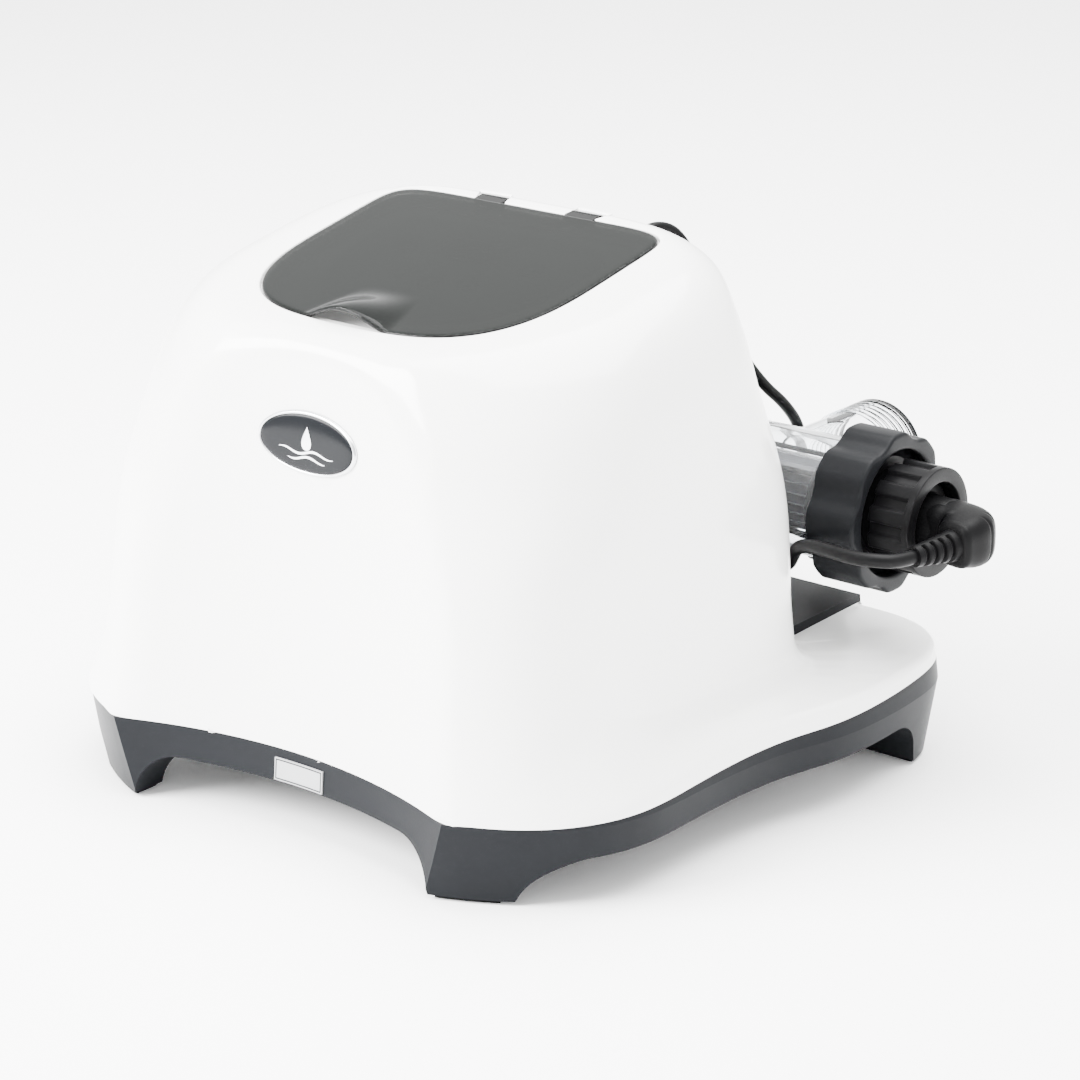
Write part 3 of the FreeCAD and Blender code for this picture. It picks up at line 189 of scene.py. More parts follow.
LOOKS = {
    "white_plastic": surface("white_plastic", (0.84, 0.84, 0.83), 0.2, 0.006, 12, 0.01, coat=0.25,
                             rough_vary=0.02),
    "slate_plastic": surface("slate_plastic", (0.0062, 0.0068, 0.0080), 0.38, 0.04, 50, 0.10, specular=0.06),
    "black_rubber": surface("black_rubber", (0.004, 0.004, 0.0042), 0.65, 0.1, 80, 0.2, specular=0.05),
    "steel": surface("steel", (0.55, 0.55, 0.56), 0.32, 0.05, 90, 0.05, metallic=1.0),
    "badge_enamel": surface("badge_enamel", (0.0045, 0.005, 0.006), 0.16, 0.05, 60, 0.0, specular=0.12),
    "silver_trim": surface("silver_trim", (0.72, 0.73, 0.75), 0.2, 0.03, 60, 0.0, metallic=1.0),
    "label_foil": surface("label_foil", (0.33, 0.335, 0.34), 0.35, 0.03, 60, 0.02),
    "smoked_lid": surface("smoked_lid", (0.0050, 0.0057, 0.0053), 0.06, 0.03, 20, 0.0, alpha=0.86,
                          rough_vary=0.01,
                          specular=0.07),
    "fascia_plastic": surface("fascia_plastic", (0.30, 0.305, 0.305), 0.42, 0.04, 40, 0.15, specular=0.1),
    "display_block": surface("display_block", (0.01, 0.01, 0.01), 0.5, 0.05, 60, 0.1, specular=0.1),
    "display_glass": surface("display_glass", (0.004, 0.0022, 0.0022), 0.08, 0.05, 60, 0.0, coat=0.5,
                             specular=0.2),
    "indicator_lens": surface("indicator_lens", (0.22, 0.42, 0.18), 0.15, 0.05, 80, 0.0, coat=0.4),
    "circuit_board": surface("circuit_board", (0.02, 0.16, 0.07), 0.4, 0.2, 90, 0.1),
    "black_plastic": surface("black_plastic", (0.0030, 0.0030, 0.0033), 0.33, 0.06, 60, 0.12, specular=0.07),
    "zinc_plate": surface("zinc_plate", (0.6, 0.61, 0.62), 0.4, 0.1, 40, 0.1, metallic=1.0),
    "laminated_steel": surface("laminated_steel", (0.2, 0.2, 0.21), 0.45, 0.15, 90, 0.2, metallic=1.0),
    "copper_winding": surface("copper_winding", (0.55, 0.22, 0.09), 0.35, 0.15, 120, 0.3, metallic=1.0),
    "capacitor_sleeve": surface("capacitor_sleeve", (0.02, 0.03, 0.12), 0.3, 0.05, 60, 0.05),
    "aluminium_fin": surface("aluminium_fin", (0.7, 0.7, 0.71), 0.35, 0.06, 60, 0.1, metallic=1.0),
    "clear_plastic": surface("clear_plastic", (0.93, 0.95, 0.97), 0.03, 0.01, 30, 0.0, transmission=1.0,
                             ior=1.40, rough_vary=0.01),
    "charcoal_plastic": surface("charcoal_plastic", (0.0052, 0.0056, 0.0064), 0.36, 0.05, 60, 0.12,
                                specular=0.07),
    "cell_plastic": surface("cell_plastic", (0.006, 0.0065, 0.007), 0.35, 0.05, 60, 0.1, specular=0.08),
    "titanium_plate": surface("titanium_plate", (0.06, 0.06, 0.065), 0.45, 0.1, 70, 0.1, metallic=0.5),
    "copper_bar": surface("copper_bar", (0.6, 0.27, 0.13), 0.3, 0.08, 70, 0.05, metallic=1.0),
    "key_cap": surface("key_cap", (0.035, 0.036, 0.037), 0.38, 0.04, 60, 0.1, specular=0.1),
    "plug_rubber": surface("plug_rubber", (0.0026, 0.0026, 0.0028), 0.4, 0.06, 60, 0.12, specular=0.06),
    "cable_jacket": surface("cable_jacket", (0.0026, 0.0026, 0.0028), 0.38, 0.06, 90, 0.10, specular=0.08),
    "lid_edge": surface("lid_edge", (0.004, 0.0042, 0.0042), 0.12, 0.05, 40, 0.0, alpha=0.9, rough_vary=0.02,
                        specular=0.15),
    "digit_bar": surface("digit_bar", (0.10, 0.02, 0.015), 0.3, 0.05, 60, 0.0),
    "print_ink": surface("print_ink", (0.75, 0.76, 0.77), 0.35, 0.03, 60, 0.0),
    "label_edge": surface("label_edge", (0.015, 0.016, 0.018), 0.4, 0.05, 60, 0.0, specular=0.1),
    "flow_arrow": surface("flow_arrow", (0.02, 0.021, 0.023), 0.25, 0.05, 60, 0.0, specular=0.1),
}
SLOTS = {part["node"]: part["material_slot"] for part in frame["record"]["subparts"]}
for node, thing in frame["nodes"].items():
    thing.data.materials.clear()
    thing.data.materials.append(LOOKS[SLOTS[node]])


def dress(thing, look, body=None, node=None):
    """Gives a piece its material and its body, and hides the CAD nodes it stands for."""
    thing.data.materials.clear()
    thing.data.materials.append(LOOKS[look])
    if body:
        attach(thing, body)
    if node:
        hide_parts(*([node] if isinstance(node, str) else node))
    return thing


# ---- camera, floor and lights ---------------------------------------------------------------
camera = bpy.data.objects.new("camera", bpy.data.cameras.new("camera"))
bpy.context.scene.collection.objects.link(camera)
camera.location = (1.1627, -1.4303, 0.752)
camera.rotation_euler = (math.radians(71.0), 0.0, math.radians(38.7))
camera.data.lens, camera.data.sensor_width = 115.1, 36.0
bpy.context.scene.camera = camera


def studio_floor():
    """A plain pale floor, just under the feet."""
    made = surface("studio_floor", (0.96, 0.96, 0.96), 0.6, 0.004, 2.0, 0.0)
    side, lift = 6.0, -0.0004
    floor = new_object("floor", np.array([(-side, -side, lift), (side, -side, lift), (side, side, lift),
                                          (-side, side, lift)]) / MM, [(0, 1, 2, 3)], False)
    floor.data.materials.append(made)


def area_light(name, place, target, width, height, power):
    """A soft light in metres and watts, turned to a target."""
    light = bpy.data.lights.new(name, "AREA")
    light.shape, light.size, light.size_y, light.energy = "RECTANGLE", width, height, power
    thing = bpy.data.objects.new(name, light)
    bpy.context.scene.collection.objects.link(thing)
    thing.location = place
    thing.rotation_euler = (Vector(target) - Vector(place)).to_track_quat("-Z", "Y").to_euler()


studio_floor()
area_light("key", (-1.3, -1.9, 1.6), (0, 0, 0.12), 1.6, 1.6, 460.0)
area_light("top", (0.2, 0.3, 2.4), (0, 0, 0.1), 2.6, 2.2, 290.0)
area_light("side", (2.3, 0.1, 1.0), (0, 0, 0.15), 1.2, 1.4, 10.0)
world = bpy.data.worlds.new("studio")
bpy.context.scene.world = world
world.use_nodes = True
world.node_tree.nodes["Background"].inputs["Color"].default_value = (1.0, 1.0, 1.0, 1.0)
world.node_tree.nodes["Background"].inputs["Strength"].default_value = 3.0


# ---- leads ----------------------------------------------------------------------------------
def unit(v):
    return np.array(v, float) / np.linalg.norm(v)


RELIEF_START = np.array((230.0, 92.0, 139.0))
RELIEF_AIM = unit((-0.20, -0.98, 0.0))
RELIEF_END = RELIEF_START + RELIEF_AIM * 30.0
CELL_GLAND, CELL_GLAND_AIM = np.array((74.0, 72.5, 97.0)), unit((0.5, 0.866, 0.0))
SENSOR_GLAND, SENSOR_GLAND_AIM = np.array((28.0, 54.5, 269.0)), unit((0.10, 0.74, 0.66))
CELL_LEAD = [
    RELIEF_END, RELIEF_END + RELIEF_AIM * 12.0, (213.5, 42.5, 140.0), (201.0, 40.0, 139.5), (182.0, 44.0,
                                                                                             138.5),
    (163.0, 52.0, 135.5), (148.0, 63.0, 128.0), (137.0, 75.0, 117.0), (124.0, 90.0, 105.0), (108.0, 100.0,
                                                                                             99.0),
    (96.0, 101.5, 97.0), CELL_GLAND + CELL_GLAND_AIM * 25.0, CELL_GLAND + CELL_GLAND_AIM * 14.0]
SENSOR_LEAD = [
    SENSOR_GLAND + SENSOR_GLAND_AIM * 14.0, SENSOR_GLAND + SENSOR_GLAND_AIM * 24.0, (32.2, 81.7, 287.6),
    (34.7, 91.3, 286.2), (37.4, 99.2, 280.7), (42.5, 107.8, 265.0), (49.5, 116.5, 241.0), (57.5, 128.5,
                                                                                           212.0),
    (65.0, 146.0, 187.0), (69.5, 162.0, 173.0), (70.0, 178.0, 155.0), (69.0, 184.0, 132.0), (68.0, 180.0,
                                                                                             111.0),
    (70.0, 169.0, 96.0), (79.0, 160.0, 88.5), (93.0, 160.0, 88.5)]


def lead(name, route, radius):
    """A round lead along its route, as a curve of order three through the same points."""
    curve = bpy.data.curves.new(name, "CURVE")
    curve.dimensions, curve.bevel_depth, curve.bevel_resolution = "3D", radius * MM, 6
    curve.use_fill_caps, curve.resolution_u = True, 10
    line = curve.splines.new("NURBS")
    line.points.add(len(route) - 1)
    for point, place in zip(line.points, route):
        point.co = (*(np.array(place, float) * MM), 1.0)
    line.order_u, line.use_endpoint_u = 3, True
    thing = bpy.data.objects.new(name, curve)
    bpy.context.scene.collection.objects.link(thing)
    thing.data.materials.append(LOOKS["cable_jacket"])
    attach(thing, "housing")
    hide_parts(name)
    return thing


def curve_length(thing):
    """Length of a curve's centreline in metres."""
    copy = thing.data.copy()
    copy.bevel_depth = 0.0
    probe = bpy.data.objects.new("probe", copy)
    bpy.context.scene.collection.objects.link(probe)
    points = [v.co.copy() for v in probe.to_mesh().vertices]
    total = sum((a - b).length for a, b in zip(points, points[1:]))
    probe.to_mesh_clear()
    bpy.data.objects.remove(probe)
    bpy.data.curves.remove(copy)
    return total


# ---- housing shell --------------------------------------------------------------------------
# (share of the height, slope, half width front, half width rear, front, rear, squareness front, rear)
DOME_FOOT, DOME_TOP = 44.0, 289.5
DOME_ROWS = np.array([
    (0.000, 0.00, 200.0, 174.0, -215.0, 74.0, 2.95, 6.5), (0.126, 0.00, 179.0, 166.0, -209.5, 74.0, 3.40,
                                                           6.5),
    (0.269, 0.00, 169.0, 165.0, -205.0, 72.0, 3.70, 6.0), (0.534, 0.03, 167.0, 166.0, -195.0, 67.0, 3.50,
                                                           4.8),
    (0.717, 0.08, 163.0, 162.0, -189.5, 62.0, 2.80, 3.5), (0.819, 0.12, 159.0, 159.0, -188.5, 57.0, 2.40,
                                                           3.2),
    (0.888, 0.16, 154.0, 154.0, -186.5, 50.0, 2.15, 3.2), (0.945, 0.19, 143.0, 143.0, -182.0, 41.0, 2.05,
                                                           3.6),
    (0.982, 0.20, 124.0, 124.0, -176.0, 30.0, 2.00, 4.2), (1.000, 0.20, 102.0, 102.0, -156.0, 22.0, 2.20,
                                                           6.0)])
WAIST_START, WAIST_END = -148.0, -68.0
PLAN_HALF = [(0.0, -224.0), (70.0, -219.0), (119.0, -205.0), (153.0, -186.0), (177.0, -165.0), (190.5,
                                                                                                -137.0),
             (194.0, -95.0), (195.5, -50.0), (201.0, -14.0), (209.0, 15.0), (213.0, 55.0), (211.0, 95.0),
             (202.0, 128.0), (178.0, 149.0), (135.0, 155.0), (0.0, 155.0)]
SHELF = [(-230, 40), (-205, 47), (-178, 66), (-150, 80), (-120, 81), (-85, 75), (-18, 65), (75, 66), (170,
                                                                                                      68)]
SHELF_EDGE = [(-230, 40), (-200, 45), (-172, 48), (-145, 51), (-115, 55), (-80, 60), (-18, 63), (75, 66),
              (170, 68)]
PANEL_RADIUS, PANEL_FOOT_Y, PANEL_LEAN = 315.0, -183.0, math.radians(4.4)
LID_RISE = 0.20
LID_SLOPE = math.atan(LID_RISE)
LID_Y, LID_Z = 15.0, 306.2           # a point of the lid plane, at the hinges
TUBE_Y, TUBE_Z = 112.0, 142.0        # the vessel's axis
CENTRE_Y = -66.0                     # the shell's columns stand round this point
SEAM_Y, SEAM_FRONT, SEAM_SLOPE = -205.0, 45.0, 0.0375
FLANGE_DRAFT = 0.12
CREASE_BLEND = 9.0                   # rounding between the panel and the dome
SMOOTHING_PASSES = 60
SHELL_FOOT_BEHIND = 58.0             # the shell ends in the deck at this height
DECK_HALF = 133.0
HINGE_X = ((-42.0, -22.0), (22.0, 42.0))


def seam_height(y):
    """Height of the line between the shell and the tray."""
    return SEAM_FRONT + SEAM_SLOPE * (y - SEAM_Y)


def spline_through(knots, values, at):
    """Values of a natural cubic spline at some places; values may have many columns."""
    n = len(knots)
    gap = np.diff(knots)
    matrix, right = np.zeros((n, n)), np.zeros((n, values.shape[1]))
    matrix[0, 0] = matrix[-1, -1] = 1.0
    for i in range(1, n - 1):
        matrix[i, i - 1:i + 2] = gap[i - 1], 2 * (gap[i - 1] + gap[i]), gap[i]
        right[i] = 6 * ((values[i + 1] - values[i]) / gap[i] - (values[i] - values[i - 1]) / gap[i - 1])
    bend = np.linalg.solve(matrix, right)
    i = np.clip(np.searchsorted(knots, at) - 1, 0, n - 2)
    h = gap[i][:, None]
    a = (knots[i + 1] - at)[:, None] / h
    b = (at - knots[i])[:, None] / h
    curved = (a ** 3 - a) * bend[i] + (b ** 3 - b) * bend[i + 1]
    return a * values[i] + b * values[i + 1] + curved * h * h / 6


def smooth_line(points, count):
    """A smooth open line through a few points, as many points."""
    points = np.array(points, float)
    knots = np.concatenate([[0], np.cumsum(np.linalg.norm(np.diff(points, axis=0), axis=1))])
    return spline_through(knots, points, np.linspace(0, knots[-1], count))


SHELF_LINE, SHELF_EDGE_LINE = smooth_line(SHELF, 400), smooth_line(SHELF_EDGE, 400)


def shelf_height(y, line=SHELF_LINE):
    """Height of the shelf's top at one place along its length."""
    return np.interp(y, line[:, 0], line[:, 1])


def superellipse(half, middle, front, rear, square_front, square_rear, count=4096):
    """Plan outline with its own reach and squareness in front of and behind its middle."""
    angle = (np.arange(count) + 0.5) * 2 * np.pi / count
    behind = np.sin(angle) > 0
    n = np.where(behind, square_rear, square_front)
    size = (np.abs(np.cos(angle)) ** n + np.abs(np.sin(angle)) ** n) ** (-1.0 / n)
    y = middle + np.where(behind, rear, front) * size * np.sin(angle)
    return np.stack([half(y) * size * np.cos(angle) if callable(half) else half * size * np.cos(angle), y], 1)


def polar_radius(outline, angles, centre=CENTRE_Y):
    """Distance from the centre to a closed outline in each direction."""
    x, y = outline[:, 0], outline[:, 1] - centre
    a = np.arctan2(y, x) % (2 * np.pi)
    order = np.argsort(a)
    a, r = a[order], np.hypot(x, y)[order]
    a = np.concatenate([a - 2 * np.pi, a, a + 2 * np.pi])
    return np.interp(angles % (2 * np.pi), a, np.concatenate([r, r, r]))


def lid_point(x, v, w):
    """From the lid plane's coordinates to the row frame."""
    c, s = math.cos(LID_SLOPE), math.sin(LID_SLOPE)
    x, v, w = np.broadcast_arrays(np.asarray(x, float), v, w)
    return np.stack([x, LID_Y + v * c - w * s, LID_Z + v * s + w * c], -1)


def column_angles():
    """Directions of the shell's columns, denser at the panel's edges and at the hinges."""
    base = np.linspace(0, 2 * np.pi, 480, endpoint=False)
    extra = []
    for left, right in HINGE_X:
        for x in (left - 0.5, right + 0.5):
            for shift in (-0.15, 0.15):
                extra.append(math.atan2(17.5 - CENTRE_Y, x + shift))
    for side in (0, 1):
        for k in range(50):
            degrees = -60.0 + k * 0.5 + 0.25
            extra.append(math.radians(degrees if side == 0 else 180.0 - degrees))
    return np.unique(np.round(np.concatenate([base, np.array(extra) % (2 * np.pi)]), 6))


def lid_outline_radius(angles, grow):
    """Distance from the shell's centre to the lid's outline, seen from above."""
    outline = superellipse(96.0 + grow, -62.0, 98.5 + grow, 62.0 + grow, 3.0, 8.0)
    flat = lid_point(outline[:, 0], outline[:, 1], 0.0)[:, :2]
    return polar_radius(flat, angles)


def panel_distance(angles, height):
    """Distance from the centre line to the concave panel in each direction, at each height."""
    lean = np.array((0.0, math.sin(PANEL_LEAN), math.cos(PANEL_LEAN)))
    foot = np.array((0.0, PANEL_FOOT_Y - PANEL_RADIUS / math.cos(PANEL_LEAN), DOME_FOOT))
    start = np.stack([np.zeros_like(height), np.full_like(height, CENTRE_Y), height], -1) - foot
    aim = np.stack([np.cos(angles) + 0 * height, np.sin(angles) + 0 * height, 0 * height], -1)
    start -= (start @ lean)[..., None] * lean
    aim -= (aim @ lean)[..., None] * lean
    a, b = (aim * aim).sum(-1), (start * aim).sum(-1)
    c = (start * start).sum(-1) - PANEL_RADIUS ** 2
    inside = b * b - a * c
    near = (-b - np.sqrt(np.maximum(inside, 0.0))) / a
    return np.where((inside > 0) & (near > 0), near, 9999.0)


def smaller(a, b, blend):
    """The smaller of two distances, rounded where they meet."""
    h = np.maximum(blend - np.abs(a - b), 0.0) / blend
    return np.minimum(a, b) - h * h * blend / 4.0


def shell_surface():
    """The housing's outside as a grid of points: rows run from the recess to the seam."""
    phi = column_angles()
    columns = len(phi)
    cos, sin = np.cos(phi), np.sin(phi)

    def place(r, z):
        return np.stack([r * cos, CENTRE_Y + r * sin, z + 0 * r], -1)

    radii, heights = [], []
    for share, slope, wide_front, wide_rear, front, rear, square_front, square_rear in DOME_ROWS:
        middle, reach = (front + rear) / 2, (rear - front) / 2

        def half(y, a=wide_front, b=wide_rear):
            return a + (b - a) * smooth_step((y - WAIST_START) / (WAIST_END - WAIST_START))

        outline = superellipse(half, middle, reach, reach, square_front, square_rear)
        r = polar_radius(outline, phi)
        radii.append(r)
        heights.append(DOME_FOOT + share * (DOME_TOP - DOME_FOOT) + slope * (CENTRE_Y + r * sin - middle))
    radii, heights = np.array(radii), np.array(heights)
    steps = np.hypot(np.diff(radii, axis=0), np.diff(heights, axis=0)).mean(1)
    knots = np.concatenate([[0], np.cumsum(steps)])
    fine = np.linspace(0, knots[-1], 700)
    dome_r, dome_z = spline_through(knots, radii, fine), spline_through(knots, heights, fine)
    dome_y = CENTRE_Y + dome_r * sin
    plan = np.array(PLAN_HALF)
    loop = np.concatenate([plan, plan[-2:0:-1] * (-1, 1), plan[:2]])
    plan_r = polar_radius(smooth_line(np.concatenate([plan[2:0:-1] * (-1, 1), loop]), 3000), phi)

    rows = []
    slot_depth = np.zeros(columns)
    for left, right in HINGE_X:
        x_at = cos / np.maximum(sin, 1e-3) * (17.5 - CENTRE_Y)
        slot_depth += np.where((sin > 0) & (x_at > left - 0.5) & (x_at < right + 0.5), 9.0, 0.0)
    inner, outer = lid_outline_radius(phi, -6.0), lid_outline_radius(phi, 1.0) + slot_depth
    rise, slide = math.cos(LID_SLOPE), math.sin(LID_SLOPE)

    def on_lid(r, w):
        y = CENTRE_Y + r * sin
        z = LID_Z + (y - LID_Y) * math.tan(LID_SLOPE)
        return np.stack([r * cos, y - w * slide, z + w * rise], -1)

    for share in (0.05, 0.4, 0.75, 0.96):
        rows.append(on_lid(inner * share, -8.0))
    ledge = np.where(slot_depth > 0, -8.0, -3.2)
    for r, w in ((inner - 0.7, -8.0), (inner - 0.1, -7.9), (inner, -7.2), (inner, ledge - 0.6),
                 (inner + 0.15, ledge - 0.1), (inner + 0.8, ledge), (outer - 0.6, ledge),
                 (outer - 0.05, ledge + 0.1), (outer, ledge + 0.7), (outer, -1.1 + 0 * outer),
                 (outer + 0.15, -0.65 + 0 * outer), (outer + 0.5, -0.35 + 0 * outer)):
        rows.append(on_lid(r, w))
    rim_start, rim_end = outer + 1.1, np.maximum(radii[-1], outer + 2.2)
    for share in (0.0, 0.25, 0.5, 0.75, 0.95):
        r = rim_start + (rim_end - rim_start) * share
        y = CENTRE_Y + r * sin
        rows.append(place(r, DOME_TOP + LID_RISE * (y + 67.0)))

    above = dome_z - np.maximum(shelf_height(dome_y), seam_height(dome_y) + 1.0)
    first = np.argmax(above > 0, axis=0)
    r_a = np.take_along_axis(dome_r, first[None], 0)[0]
    z_a = np.take_along_axis(dome_z, first[None], 0)[0]

    def wall_radius(z):
        flange = plan_r - FLANGE_DRAFT * (z - SEAM_FRONT)
        at = np.array([np.interp(z[j], dome_z[:, j], dome_r[:, j]) for j in range(columns)])
        return np.maximum(flange, at)

    z_b = shelf_height(CENTRE_Y + plan_r * 0.98 * sin, SHELF_EDGE_LINE)
    z_b = np.maximum(z_b, seam_height(CENTRE_Y + plan_r * sin) + 1.0)
    z_b = np.minimum(z_b, z_a)
    r_b = np.maximum(wall_radius(z_b), r_a + 0.05)
    width = r_b - r_a
    fillet = np.clip(0.42 * width, 0.03, 13.0)
    round_over = np.clip(0.42 * width, 0.03, 12.0)
    r_seam = smaller(r_b, panel_distance(phi, SEAM_FRONT + 1.0 + 0 * phi), CREASE_BLEND)
    seam = seam_height(CENTRE_Y + r_seam * sin)
    round_over = np.minimum(round_over, 0.5 * (z_b - seam))

    # dome rows, equally spaced from the rim down to the top of the fillet
    count = 105
    for k in range(count):
        share = k / (count - 1)
        r_row, z_row = np.zeros(columns), np.zeros(columns)
        for j in range(columns):
            length = np.concatenate([[0], np.cumsum(np.hypot(np.diff(dome_r[first[j]:, j]),
                                                             np.diff(dome_z[first[j]:, j])))])
            start, end = fillet[j], length[-1]
            at = end + (start - end) * share
            r_row[j] = np.interp(at, length, dome_r[first[j]:, j])
            z_row[j] = np.interp(at, length, dome_z[first[j]:, j])
        if k == 0:
            keep = r_row > rim_end - 0.5
            r_row = np.where(keep, r_row, rim_end)
        rows.append(place(np.maximum(r_row, rim_end) if k < 6 else r_row, z_row))
    dome_end = len(rows)
    p1 = rows[-1]
    corner_a = place(r_a, z_a)
    slope = (z_b - z_a) / np.maximum(r_b - r_a, 0.05)
    p2 = place(r_a + fillet, z_a + slope * fillet)
    for k in range(1, 9):
        t = k / 8
        rows.append(p1 * (1 - t) ** 2 + corner_a * 2 * t * (1 - t) + p2 * t * t)
    q1 = place(r_b - round_over, z_b - slope * round_over)
    for k in range(1, 13):
        t = k / 12
        r = (r_a + fillet) * (1 - t) + (r_b - round_over) * t
        straight = (z_a + slope * fillet) * (1 - t) + (z_b - slope * round_over) * t
        rows.append(place(r, straight))
    corner_b = place(r_b, z_b)
    z_low = z_b - round_over
    q2 = place(wall_radius(z_low), z_low)
    for k in range(1, 9):
        t = k / 8
        rows.append(q1 * (1 - t) ** 2 + corner_b * 2 * t * (1 - t) + q2 * t * t)
    for k in range(1, 11):
        t = k / 10
        z = z_low * (1 - t) + seam * t
        rows.append(place(wall_radius(z), z))
    grid = np.array(rows)
    return phi, grid, dome_end


def hollow_panel(phi, grid):
    """Pulls the front in to the concave panel and rounds its edge."""
    r = np.hypot(grid[..., 0], grid[..., 1] - CENTRE_Y)
    limit = panel_distance(phi[None, :], grid[..., 2])
    pulled = smaller(r, limit, CREASE_BLEND)
    share = np.where(r > 1e-6, pulled / np.maximum(r, 1e-6), 1.0)
    made = grid.copy()
    made[..., 0] *= share
    made[..., 1] = CENTRE_Y + (grid[..., 1] - CENTRE_Y) * share
    made[-1, :, 2] = seam_height(made[-1, :, 1])
    inside = r > limit
    edge = (inside[1:, :] != inside[:-1, :])
    marks = [made[1:][edge], made[:-1][edge]]
    turn = inside != np.roll(inside, 1, axis=1)
    marks.append(made[turn])
    marks = np.concatenate(marks)
    marks = marks[marks[:, 1] < -120]
    tree = kdtree.KDTree(len(marks))
    for i, mark in enumerate(marks):
        tree.insert(Vector(mark), i)
    tree.balance()
    weight = np.zeros(grid.shape[:2])
    for i in range(20, grid.shape[0]):
        for j in np.nonzero(made[i, :, 1] < -130)[0]:
            distance = tree.find(Vector(made[i, j]))[2]
            weight[i, j] = float(smooth_step(1.0 - (distance - 3.0) / 9.0))
    weight[-1] = 0.0
    for _ in range(SMOOTHING_PASSES):
        around = (np.roll(made, 1, 1) + np.roll(made, -1, 1)) * 0.5
        along = made.copy()
        along[1:-1] = (made[2:] + made[:-2]) * 0.5
        made += (weight * 0.5)[..., None] * ((around + along) * 0.5 - made)
    return made


def housing_shell():
    """The white housing: dome, shelf, lid recess and notch for the deck, as one moulding."""
    phi, grid, dome_end = shell_surface()
    grid = hollow_panel(phi, grid)
    columns = len(phi)
    rear = np.sin(phi) > 0
    foot_x = grid[dome_end - 1, :, 0]
    open_back = rear & (np.abs(foot_x) < DECK_HALF) & (grid[dome_end - 1, :, 1] > 40)
    outer_x = grid[-1, :, 0]
    vertices = list(grid.reshape(-1, 3))
    faces = []
    total = grid.shape[0]
    for i in range(total - 1):
        for j in range(columns):
            k = (j + 1) % columns
            if i >= dome_end - 1 and (open_back[j] or open_back[k]):
                continue
            a, b = i * columns + j, i * columns + k
            faces.append((a, b, b + columns, a + columns))
    faces.append(tuple(range(columns - 1, -1, -1)))
    # behind the dome the shell only goes down into the deck
    deep = []
    for j in range(columns):
        deep.append(len(vertices))
        p = grid[dome_end - 1, j]
        vertices.append(np.array((p[0], p[1], SHELL_FOOT_BEHIND)))
    for j in range(columns):
        k = (j + 1) % columns
        if open_back[j] or open_back[k]:
            a, b = (dome_end - 1) * columns + j, (dome_end - 1) * columns + k
            faces.append((a, b, deep[k], deep[j]))
    # the shelf beside the deck starts at the deck's side
    for side in (1, -1):
        picked = [j for j in range(columns) if open_back[j] and side * outer_x[j] > DECK_HALF]
        picked.sort(key=lambda j: side * outer_x[j], reverse=True)
        near = min((j for j in range(columns) if rear[j] and not open_back[j] and side * foot_x[j] > 0),
                   key=lambda j: abs(side * foot_x[j] - DECK_HALF))
        strip = [near] + picked
        start = len(vertices)
        stations = list(range(dome_end - 1, total))
        x_edge = side * DECK_HALF
        for j in strip:
            line = grid[dome_end - 1:, j].copy()
            if j != near:
                shelf_end = grid[dome_end + 19, j]
                d = grid[-1, j] - np.array((0, CENTRE_Y, 0))
                reach = x_edge / math.cos(phi[j])
                y = CENTRE_Y + reach * math.sin(phi[j])
                first = np.array((x_edge, y, min(shelf_height(y), shelf_end[2] + 3.0)))
                for m in range(20):
                    line[m] = first + (shelf_end - first) * (m / 20.0)
                for m in range(20, len(line)):
                    if side * line[m][0] < DECK_HALF:
                        line[m][0] = x_edge
            vertices.extend(line)
        n = len(stations)
        for s in range(len(strip) - 1):
            for m in range(n - 1):
                a = start + s * n + m
                faces.append((a, a + n, a + n + 1, a + 1))
        # side wall of the notch
        wall = []
        for s, j in enumerate(strip):
            top = vertices[start + s * n]
            wall.append((start + s * n, len(vertices)))
            vertices.append(np.array((top[0], top[1], seam_height(top[1]))))
        for (a, b), (c, d) in zip(wall, wall[1:]):
            faces.append((a, b, d, c))
    shell = new_object("shell_skin", np.array(vertices), faces)
    finish_mesh(shell, 0.03)
    thick = shell.modifiers.new("thickness", "SOLIDIFY")
    thick.thickness, thick.offset = 0.0018, -1.0
    sharpen(shell, 40)
    return dress(shell, "white_plastic", "housing", "housing_shell")


# ---- lid ------------------------------------------------------------------------------------
def wave_height(x, v):
    """Height of the finger lift above the lid plane."""
    t = np.clip((v + 160.5) / 42.0, 0.0, 1.0)
    half = 30.0 * (1.0 - 0.35 * t)
    return 9.0 * (1.0 - smooth_step(t)) * np.maximum(0.0, 1.0 - (x / half) ** 2) ** 1.6


